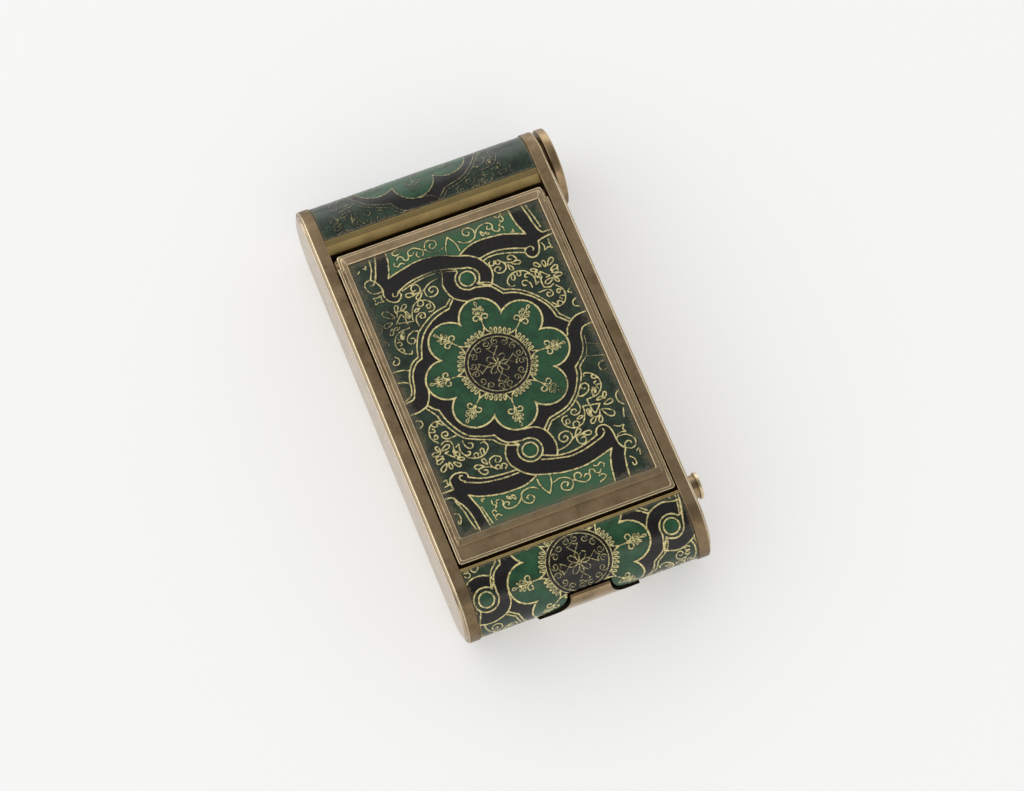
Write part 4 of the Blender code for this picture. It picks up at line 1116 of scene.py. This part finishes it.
def notch_reach(x):
    """How far along the section the lower plaque reaches at a given x: down to the bell-shaped thumb notch."""
    offset = np.clip(NOTCH_SIDE - np.abs(x), 0, NOTCH_FLARE)
    z = NOTCH_TOP - np.sqrt(NOTCH_FLARE ** 2 - offset ** 2)
    z = np.where(np.abs(x) <= NOTCH_HALF, NOTCH_TOP, z)
    angle = math.pi / 2 - np.arcsin((z - MID_Z) / PLAQUE_RADIUS)
    return PLAQUE_FLAT + PLAQUE_RADIUS * angle


def plaque(context, name, side, drawn_at, fading, notched):
    """Sheet wrapped round an end: a grid of (x, distance along the section), its inside, and walls between."""
    outer_r, inner_r = PLAQUE_RADIUS, PLAQUE_RADIUS - 0.7
    spacing = 0.16
    edge = PLATE_LOW[0] - PLAQUE_GAP
    shape = Shape()

    def section(x, radius, levels):
        """Points of the sheet at columns x and distances along the section."""
        return np.stack([np.broadcast_to(x, levels.shape), *end_section(side, radius, levels)], axis=-1)

    def block(x, outer, inner):
        """Drawn outside and plain inside of a stretch: columns x and, for each, distances along the section."""
        columns = np.broadcast_to(x, outer.shape)
        drawn = drawing(*drawn_at(columns, outer))
        drawn["faded"] = np.maximum(drawn["faded"], fading)
        drawn["wear"] = np.maximum(np.clip(1 - outer / 0.8, 0, 1), np.clip(1 - (edge - np.abs(columns)) / 1.0, 0, 1))
        relief = 0.02 * np.clip(drawn["gold"] / 0.1, -1, 1)
        relief[[0, -1]] = relief[:, [0, -1]] = 0
        shape.grid(section(x, outer_r + relief, outer), **drawn)
        shape.grid(section(x, inner_r, inner), **UNDRAWN)

    def even_block(x, outer, inner):
        """A stretch whose columns all have the same distances."""
        block(x, np.repeat(outer[:, None], len(x), 1), np.repeat(inner[:, None], len(x), 1))

    def rim(x, outer, inner):
        """Flat wall at one x between the outer and the inner section."""
        shape.polygon(np.concatenate([section(x, outer_r, outer), section(x, inner_r, inner)[::-1]]), **UNDRAWN)

    def lips(x, end):
        """Narrow walls that join the outer and the inner section along the sheet's upper edge and its end."""
        for levels in (np.zeros_like(x), np.broadcast_to(end, x.shape)):
            shape.grid(np.stack([section(x, radius, levels) for radius in (outer_r, inner_r)]), **UNDRAWN)

    if not notched:
        x = np.linspace(-edge, edge, int(2 * edge / spacing) + 1)
        fine = np.linspace(0, PLAQUE_LENGTH, int(PLAQUE_LENGTH / spacing) + 1)
        coarse = np.linspace(0, PLAQUE_LENGTH, 41)
        even_block(x, fine, coarse)
        rim(-edge, fine, coarse)
        rim(edge, fine, coarse)
        lips(x, PLAQUE_LENGTH)
    else:
        bell = np.sin(np.linspace(0, math.pi / 2, int(NOTCH_FLARE_LENGTH / spacing) + 1))
        flare = NOTCH_SIDE - NOTCH_FLARE * bell
        neck = np.linspace(-flare[-1], flare[-1], int(2 * flare[-1] / spacing) + 1)
        middle = np.concatenate([-flare, neck[1:-1], flare[::-1]])
        reach = notch_reach(middle)
        at_side = reach[0]
        share, share_in = np.linspace(0, 1, int(at_side / spacing) + 1), np.linspace(0, 1, 25)
        block(middle, share[:, None] * reach, share_in[:, None] * reach)
        lips(middle, reach)
        down = np.linspace(at_side, PLAQUE_LENGTH, int((PLAQUE_LENGTH - at_side) / spacing) + 1)
        down_in = np.linspace(at_side, PLAQUE_LENGTH, 17)
        fine = np.concatenate([share * at_side, down[1:]])
        coarse = np.concatenate([share_in * at_side, down_in[1:]])
        for sign in (-1, 1):
            x = sign * np.linspace(NOTCH_SIDE, edge, int((edge - NOTCH_SIDE) / spacing) + 1)
            even_block(x, fine, coarse)
            rim(sign * edge, fine, coarse)
            rim(sign * NOTCH_SIDE, down, down_in)
            lips(x, PLAQUE_LENGTH)
    place(shape.finish(name, enamel(context)), name, "case", "enamel")


def sideways(x, along):
    """Place in the lid's drawing of a point of the lower plaque, whose drawing lies a quarter turn round."""
    c, s = math.cos(math.radians(85.6)), math.sin(math.radians(85.6))
    right, up = x + 0.5, 5.34 - along
    return right * c - up * s + CENTRE[0], right * s + up * c + CENTRE[1]


# Lid frame


def frame_ring(half_x, low_y, high_y, corner, cut=1e-6, cut_length=2.3, steps=5):
    """Rounded rectangle in (x, y) whose two hinge corners are cut back; a tiny cut leaves them whole."""
    points = [(-half_x, low_y), (half_x, low_y), (half_x, high_y - cut_length), (half_x - cut, high_y - cut_length),
              (half_x - cut, high_y), (-half_x + cut, high_y), (-half_x + cut, high_y - cut_length),
              (-half_x, high_y - cut_length)]
    return rounded(points, (corner, corner, 0, 0, corner, corner, 0, 0), steps)


def nested(shape, rings, wear):
    """Stack of closed (x, y) rings with their heights and their wear, its first and last ring filled flat."""
    rows = np.stack([lift(ring, z, 2) for ring, z in rings])
    shape.grid(rows, close_v=True, wear=np.asarray(wear, float)[:, None])
    shape.cap(without_repeats(rows[0]))
    shape.cap(without_repeats(rows[-1]))


def lid_frame(context):
    """Stepped lid: rings of rounded rectangles up the skirt, over two tiers and down into the recess."""
    sizes = settings(context).lid
    ease, corner = sizes.edge_round / MM, sizes.corner_round / MM
    x, low, high = LID_HIGH[0] + LID_GROWTH, LID_LOW[1], LID_HIGH[1]
    skirt, top1, top2, under = 11.6, LID_HIGH[2] - 0.4, LID_HIGH[2], 13.3
    ear_cut = 0.5

    def outer(inset, z, cut=ear_cut):
        return frame_ring(x - inset, low + inset, high - inset, corner, cut), z

    def tier(inset, z):
        return frame_ring(x - 1.0 - inset, low + 3.1 + inset, high - 0.7 - inset, corner), z

    def inner(inset, z):
        return frame_ring(x - inset, low + inset, high - inset, 0.2), z

    recess_x, recess_low, recess_high = PANEL_HIGH[0] + PANEL_GAP, PANEL_LOW[1] - PANEL_GAP, PANEL_HIGH[1] + PANEL_GAP

    def recess(grow, z):
        return frame_ring(recess_x + grow, recess_low - grow, recess_high + grow, 0.25), z

    e, whole = ease, 1e-6
    skirt_rings = [inner(0.7, under), inner(0.7, skirt), inner(0.05, skirt), outer(0, skirt + 0.05, whole),
                   outer(0, under, whole), outer(0, under + 1e-4)]
    edge_rings = [outer(0, top1 - e), outer(e * 0.12, top1 - e * 0.5), outer(e * 0.5, top1 - e * 0.12), outer(e, top1)]
    outer_bead = [outer(0.42, top1), outer(0.47, top1 + 0.05), outer(0.55, top1 + 0.05), outer(0.6, top1)]
    tier_rings = [tier(-0.06, top1), tier(0, top1 + 0.06), tier(0, top2 - e * 0.8), tier(e * 0.15, top2 - e * 0.3),
                  tier(e * 0.6, top2)]
    recess_bead = [recess(0.22, top2), recess(0.16, top2 + 0.03), recess(0.1, top2 + 0.03), recess(0.0, top2 - 0.06),
                   recess(0.0, 13.9)]
    rings = skirt_rings + edge_rings + outer_bead + tier_rings + recess_bead
    wear = [0, 0, 0, 0, 0, 0] + [0.3, 1, 1, 0.3] + [0, 1, 1, 0] + [0, 0, 0.3, 1, 0.1] + [0.1, 0.6, 0.5, 0.1, 0]
    shape = Shape()
    nested(shape, rings, wear)
    frame_piece = shape.finish("lid_frame", brass(context))
    ears, holes = [], []
    for sign in (-1, 1):
        for blanks, name, radius, steps, start, end in ((ears, "ear_blank", 1.6, 64, 18.62, 19.34),
                                                        (holes, "hole_blank", 0.8, 48, 18.0, 20.0)):
            blank = Shape()
            prism(blank, [arc(HINGE, radius, 0, 360, steps)[:-1]], (sign * start, sign * end))
            blanks.append(blank.finish(name, brass(context)))
    joined(frame_piece, ears, 'UNION')
    joined(frame_piece, holes, 'DIFFERENCE')
    place(frame_piece, "lid_frame", "lid", "brass")


# Back cover


# The thumb tab's bell: its top, its radius, where its middle stands in x, how far it drops, and the straight half width
TAB_TOP, TAB_BELL, TAB_BELL_X, TAB_DROP, TAB_HALF = 10.25, 5.98, 9.55, 5.967, 9.15


def tab_half_width(z):
    """Half width of the thumb tab at a height: straight sides, then a bell-shaped flare inwards."""
    drop = np.clip(TAB_TOP - z, 0, TAB_DROP)
    return np.minimum(TAB_HALF, TAB_BELL_X - np.sqrt(np.clip(TAB_BELL ** 2 - drop ** 2, 0, None)))


def thumb_tab(context):
    """Thumb tab: a sheet from the cover's front up round the end, narrowing like a bell."""
    outer_r, inner_r = MID_Z, MID_Z - 0.7
    flat = np.linspace(-32.2, TAB_Y, 8)[:-1]
    heights = TAB_TOP - TAB_BELL * np.sin(np.linspace(1.504, 0.119, 46))
    turn = np.concatenate([np.radians(np.linspace(270, 205, 24)), math.pi - np.arcsin((heights - MID_Z) / outer_r)])
    across = np.concatenate([[-1], np.linspace(-0.985, 0.985, 39), [1]])
    half = tab_half_width(np.concatenate([np.zeros_like(flat), MID_Z + outer_r * np.sin(turn)]))
    grids = []
    for radius, flat_z in ((outer_r, 0.0), (inner_r, 0.7)):
        y = np.concatenate([flat, TAB_Y + radius * np.cos(turn)])
        z = np.concatenate([np.full_like(flat, flat_z), MID_Z + radius * np.sin(turn)])
        rows = (half[:, None] * across, np.repeat(y[:, None], len(across), 1), np.repeat(z[:, None], len(across), 1))
        grids.append(np.stack(rows, axis=-1))
    shape = Shape()
    outer, inner = grids
    shape.grid(outer)
    shape.grid(inner)
    for at in (0, -1, (slice(None), 0), (slice(None), -1)):
        shape.grid(np.stack([outer[at], inner[at]]))
    return shape.finish("tab_blank", brass(context))


def tab_finish(mesh, bar_reach):
    """Values by place on the joined cover: the tab's outside burnished with a painted reflection, more so downwards,
    and painted shade on its edges and inside.
    """
    places = np.empty(len(mesh.vertices) * 3, np.float32)
    mesh.vertices.foreach_get("co", places)
    x, y, z = (places.reshape(-1, 3) / MM).T
    radius = np.maximum(np.hypot(y - TAB_Y, z - MID_Z), 0.1)
    half = tab_half_width(MID_Z + MID_Z * (z - MID_Z) / radius)
    on_tab = (y < TAB_Y) & (np.hypot(y - TAB_BAR[0], z - TAB_BAR[1]) > bar_reach)
    hidden = (np.abs(np.abs(x) - half) < 0.02) | (radius < MID_Z - 0.5)
    # Painted reflection on the tab's outside, growing downwards; painted shade on its edges and inside
    polish = np.clip((8.2 - z) / 3, 0, 1) * (on_tab & ~hidden)
    for key, values in (("grime", on_tab & hidden), ("polish", polish)):
        if key in mesh.attributes:
            mesh.attributes.remove(mesh.attributes[key])
        mesh.attributes.new(key, 'FLOAT', 'POINT').data.foreach_set("value", values.astype(np.float32))


def back_cover(context):
    """Back cover: a shallow tray of rounded rectangles, its recess, the thumb tab and the tab's rounded bar."""
    sizes = settings(context).cover
    ease, bar_r = sizes.edge_round / MM, sizes.bar_radius / MM
    x, low, high = LID_HIGH[0], -32.9, 30.8
    thick, skirt = 1.5, 2.8

    def ring(inset, z, corner=0.4):
        return frame_ring(x - inset, low + inset, high - inset, corner), z

    def recess(grow, z):
        return frame_ring(17.93 + grow, BACK_LOW[1] - BACK_GAP - grow, BACK_HIGH[1] + BACK_GAP + grow, 0.25), z

    e = ease
    rings = [ring(0.7, thick), ring(0.7, skirt), ring(0.05, skirt), ring(0, skirt - 0.05), ring(0, e),
             ring(e * 0.15, e * 0.5), ring(e * 0.5, e * 0.15), ring(e, 0), recess(0.06, 0), recess(0, 0.06),
             recess(0, 0.9)]
    shape = Shape()
    nested(shape, rings, [0, 0, 0, 0, 0.3, 1, 1, 0.5, 0.4, 0, 0])
    cover = shape.finish("back_cover", brass(context))
    bar = Shape()
    end, near, bevel = 3.65, 0.09, 0.3
    left = [(-end, 0), (-end, bar_r - bevel), (-end + near, bar_r - near), (-end + bevel, bar_r)]
    turned(bar, left + [(-x, radius) for x, radius in reversed(left)], TAB_BAR, 48, wear=1.0)
    joined(cover, [thumb_tab(context), bar.finish("bar_blank", brass(context))], 'UNION')
    tab_finish(cover.data, bar_r + 0.01)
    place(cover, "back_cover", "case", "brass")


# Round pieces


def tube_cap(context):
    """Cap turned about the tube's axis: domed face, rounded edge, rim and thin sleeve."""
    sizes = settings(context).cap
    ease, steps = sizes.edge_round / MM, sizes.steps
    radius = (CAP_HIGH[2] - CAP_LOW[2]) / 2
    start = CAP_LOW[0]
    seat = 22.7
    edge_x = CAP_HIGH[0] - 0.3
    share = np.linspace(0, 1, 12)
    dome = np.stack([CAP_HIGH[0] - 0.3 * share ** 2, (radius - ease) * share], axis=1)
    angle = np.radians(np.linspace(90, 0, 7))[1:]
    edge = np.stack([edge_x - ease + ease * np.sin(angle), radius - ease + ease * np.cos(angle)], axis=1)
    sleeve, bore = 4.9, 4.3
    rest = [(seat + 0.08, radius), (seat, radius - 0.08), (seat, sleeve), (start, sleeve), (start, bore), (seat, bore),
            (seat, 0)]
    profile = np.concatenate([dome, edge, rest])
    wear, grime = np.zeros(len(profile)), np.zeros(len(profile))
    wear[11:16] = 0.3
    # Painted shade: the domed face is darkened
    grime[:11] = 0.5
    shape = Shape()
    turned(shape, profile, (END_Y, MID_Z), steps, wear, grime)
    place(shape.finish("tube_cap", brass(context)), "tube_cap", "case", "brass")


def release_button(context):
    """Button turned about its axis: head, stem and inner collar."""
    sizes = settings(context).button
    ease, steps = sizes.edge_round / MM, sizes.steps
    head, stem, collar = 2.4, 2.1, 2.7
    end, head_x, inner, back = BUTTON_HIGH[0], 24.2, 19.53, BUTTON_LOW[0]
    profile = [(end, 0), (end, head - ease), (end - ease * 0.3, head - ease * 0.3), (end - ease, head),
               (head_x + 0.05, head), (head_x, head - 0.05), (head_x, stem), (inner, stem), (inner, collar),
               (back, collar), (back, 0)]
    shape = Shape()
    turned(shape, profile, BUTTON, steps, [0.3, 0.8, 1, 1, 0.6, 0.3, 0, 0, 0, 0, 0])
    place(shape.finish("release_button", brass(context)), "release_button", "button", "brass")


def hinge_pin(context, side):
    """Short round pin with eased ends."""
    start, end = side * PIN_LOW[0], side * PIN_HIGH[0]
    e = side * 0.1
    shape = Shape()
    turned(shape, [(start, 0), (start, 0.4), (start + e, 0.5), (end - e, 0.5), (end, 0.4), (end, 0)], HINGE, 32)
    name = "hinge_pin_right" if side > 0 else "hinge_pin_left"
    place(shape.finish(name, brass(context, bright=True)), name, "case", "bright_brass")


# Studio


def area_light(name, azimuth, elevation, distance, size, power, colour=(1, 1, 1)):
    """Square soft light that faces the case from a bearing and a height, in degrees and metres."""
    light = bpy.data.lights.new(name, 'AREA')
    light.shape = 'RECTANGLE'
    light.size, light.size_y = size
    light.energy = power
    light.color = colour
    obj = bpy.data.objects.new(name, light)
    bpy.context.scene.collection.objects.link(obj)
    a, e = math.radians(azimuth), math.radians(elevation)
    way = Vector((math.cos(a) * math.cos(e), math.sin(a) * math.cos(e), math.sin(e)))
    obj.location = way * distance
    obj.rotation_euler = way.to_track_quat('Z', 'Y').to_euler()


def camera():
    """Camera at the fitted place: its bearing, height, distance and focal length in pixels."""
    azimuth, elevation, distance, focal = math.radians(-21.346), math.radians(66.517), 675.07, 3903.25
    photo_width = 1024
    target = Vector((1.267, -2.737, 6.0))
    flat = math.cos(elevation)
    back = Vector((math.sin(azimuth) * flat, -math.cos(azimuth) * flat, math.sin(elevation)))
    data = bpy.data.cameras.new("photo_camera")
    data.sensor_fit = 'HORIZONTAL'
    data.sensor_width = 36
    data.lens = focal / photo_width * 36
    data.clip_start = 0.01
    data.clip_end = 50
    obj = bpy.data.objects.new("photo_camera", data)
    bpy.context.scene.collection.objects.link(obj)
    obj.location = (target + back * distance) * MM
    obj.rotation_euler = back.to_track_quat('Z', 'Y').to_euler()
    bpy.context.scene.camera = obj


def world():
    """Studio surroundings: bright near the horizon and to the left and back, dimmer overhead and in front."""
    made = bpy.data.worlds.new("studio")
    bpy.context.scene.world = made
    made.use_nodes = True
    tree = made.node_tree
    background = tree.nodes["Background"]
    way = tree.nodes.new('ShaderNodeTexCoord')
    split = tree.nodes.new('ShaderNodeSeparateXYZ')
    tree.links.new(way.outputs["Generated"], split.inputs[0])
    shade = tree.nodes.new('ShaderNodeValToRGB')
    tree.links.new(split.outputs[2], shade.inputs[0])
    band = shade.color_ramp
    band.elements[0].position, band.elements[0].color = 0.0, (1.0, 1.0, 1.0, 1)
    band.elements[1].position, band.elements[1].color = 1.0, (0.12, 0.12, 0.125, 1)
    for height, shine in ((0.45, 0.9), (0.75, 0.35)):
        middle = band.elements.new(height)
        middle.color = (shine, shine, shine, 1)
    tree.links.new(shade.outputs[0], background.inputs[0])
    side = tree.nodes.new('ShaderNodeVectorMath')
    side.operation = 'DOT_PRODUCT'
    tree.links.new(way.outputs["Generated"], side.inputs[0])
    side.inputs[1].default_value = (-0.4, 0.45, 0.0)
    power = tree.nodes.new('ShaderNodeMath')
    power.operation = 'ADD'
    tree.links.new(side.outputs["Value"], power.inputs[0])
    power.inputs[1].default_value = 1.5
    tree.links.new(power.outputs[0], background.inputs[1])


def studio(context):
    """Pale paper floor, soft lights and the camera."""
    sizes = settings(context).studio
    mesh = bpy.data.meshes.new("paper_floor")
    grid = np.stack(np.meshgrid(np.linspace(-2, 2, 5), np.linspace(-2, 2, 5)), axis=-1).reshape(-1, 2)
    index = np.arange(25).reshape(5, 5)
    quads = np.stack([index[:-1, :-1], index[:-1, 1:], index[1:, 1:], index[1:, :-1]], axis=-1).reshape(-1, 4)
    mesh.from_pydata(np.column_stack([grid, np.zeros(25)]).tolist(), [], quads.tolist())
    mesh.materials.append(paper_material("paper", tuple(sizes.paper)))
    floor = bpy.data.objects.new("paper_floor", mesh)
    bpy.context.scene.collection.objects.link(floor)
    world()
    area_light("key", 130, 48, 0.9, (0.9, 0.9), sizes.key_power)
    area_light("front", -80, 40, 0.8, (0.35, 0.25), sizes.front_power, (1.0, 0.93, 0.8))
    camera()
    context.scene.view_settings.view_transform = 'Standard'


# Operators


class VANITY_OT_side_plates(bpy.types.Operator):
    """Build the two stadium-shaped side plates"""
    bl_idname = "vanity.side_plates"
    bl_label = "Side Plates"

    def execute(self, context):
        side_plate(context, -1, [])
        side_plate(context, 1, [(END_Y, MID_Z, 5.2), (*BUTTON, 2.4)])
        return {'FINISHED'}


class VANITY_OT_shell(bpy.types.Operator):
    """Build the folded shell with its tube, strip and chamber"""
    bl_idname = "vanity.shell"
    bl_label = "Shell"

    def execute(self, context):
        case_shell(context)
        return {'FINISHED'}


class VANITY_OT_plaques(bpy.types.Operator):
    """Build the two curved enamel plaques"""
    bl_idname = "vanity.plaques"
    bl_label = "End Plaques"

    def execute(self, context):
        plaque(context, "top_plaque", 1, lambda x, along: (x + 0.8, along - 14.6), 0.6, False)
        plaque(context, "bottom_plaque", -1, sideways, 0.0, True)
        return {'FINISHED'}


class VANITY_OT_lid_frame(bpy.types.Operator):
    """Build the stepped brass frame of the lid"""
    bl_idname = "vanity.lid_frame"
    bl_label = "Lid Frame"

    def execute(self, context):
        lid_frame(context)
        return {'FINISHED'}


class VANITY_OT_panels(bpy.types.Operator):
    """Build the enamel panels of the lid and the back"""
    bl_idname = "vanity.panels"
    bl_label = "Enamel Panels"

    def execute(self, context):
        lid_panel(context)
        back_panel(context)
        return {'FINISHED'}


class VANITY_OT_back_cover(bpy.types.Operator):
    """Build the back cover with its thumb tab"""
    bl_idname = "vanity.back_cover"
    bl_label = "Back Cover"

    def execute(self, context):
        back_cover(context)
        return {'FINISHED'}


class VANITY_OT_hinge_pins(bpy.types.Operator):
    """Build the two hinge pins"""
    bl_idname = "vanity.hinge_pins"
    bl_label = "Hinge Pins"

    def execute(self, context):
        hinge_pin(context, -1)
        hinge_pin(context, 1)
        return {'FINISHED'}


class VANITY_OT_round_pieces(bpy.types.Operator):
    """Build the tube cap and the push button"""
    bl_idname = "vanity.round_pieces"
    bl_label = "Cap and Button"

    def execute(self, context):
        tube_cap(context)
        release_button(context)
        return {'FINISHED'}


class VANITY_OT_studio(bpy.types.Operator):
    """Build the floor, the lights and the camera"""
    bl_idname = "vanity.studio"
    bl_label = "Studio"

    def execute(self, context):
        studio(context)
        return {'FINISHED'}


OPERATORS = (VANITY_OT_side_plates, VANITY_OT_shell, VANITY_OT_plaques, VANITY_OT_lid_frame, VANITY_OT_panels,
             VANITY_OT_back_cover, VANITY_OT_hinge_pins, VANITY_OT_round_pieces, VANITY_OT_studio)


class VANITY_PT_pieces(bpy.types.Panel):
    """Lists the operators that build the case"""
    bl_label = "Vanity Case"
    bl_idname = "VANITY_PT_pieces"
    bl_space_type = 'VIEW_3D'
    bl_region_type = 'UI'
    bl_category = "Vanity Case"

    def draw(self, context):
        for operator in OPERATORS:
            self.layout.operator(operator.bl_idname)


CLASSES = (PlateSettings, ShellSettings, LidSettings, CoverSettings, CapSettings, ButtonSettings, BrassSettings,
           EnamelSettings, StudioSettings, VanityCaseSettings) + OPERATORS + (VANITY_PT_pieces,)


def register():
    """Register the classes and the settings."""
    for cls in CLASSES:
        bpy.utils.register_class(cls)
    bpy.types.Scene.vanity_case = PointerProperty(type=VanityCaseSettings)


def unregister():
    """Remove the settings and the classes."""
    del bpy.types.Scene.vanity_case
    for cls in reversed(CLASSES):
        bpy.utils.unregister_class(cls)


def main():
    """Register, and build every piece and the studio."""
    register()
    bpy.ops.vanity.side_plates()
    bpy.ops.vanity.shell()
    bpy.ops.vanity.plaques()
    bpy.ops.vanity.lid_frame()
    bpy.ops.vanity.panels()
    bpy.ops.vanity.back_cover()
    bpy.ops.vanity.hinge_pins()
    bpy.ops.vanity.round_pieces()
    bpy.ops.vanity.studio()


if __name__ == "__main__":
    main()
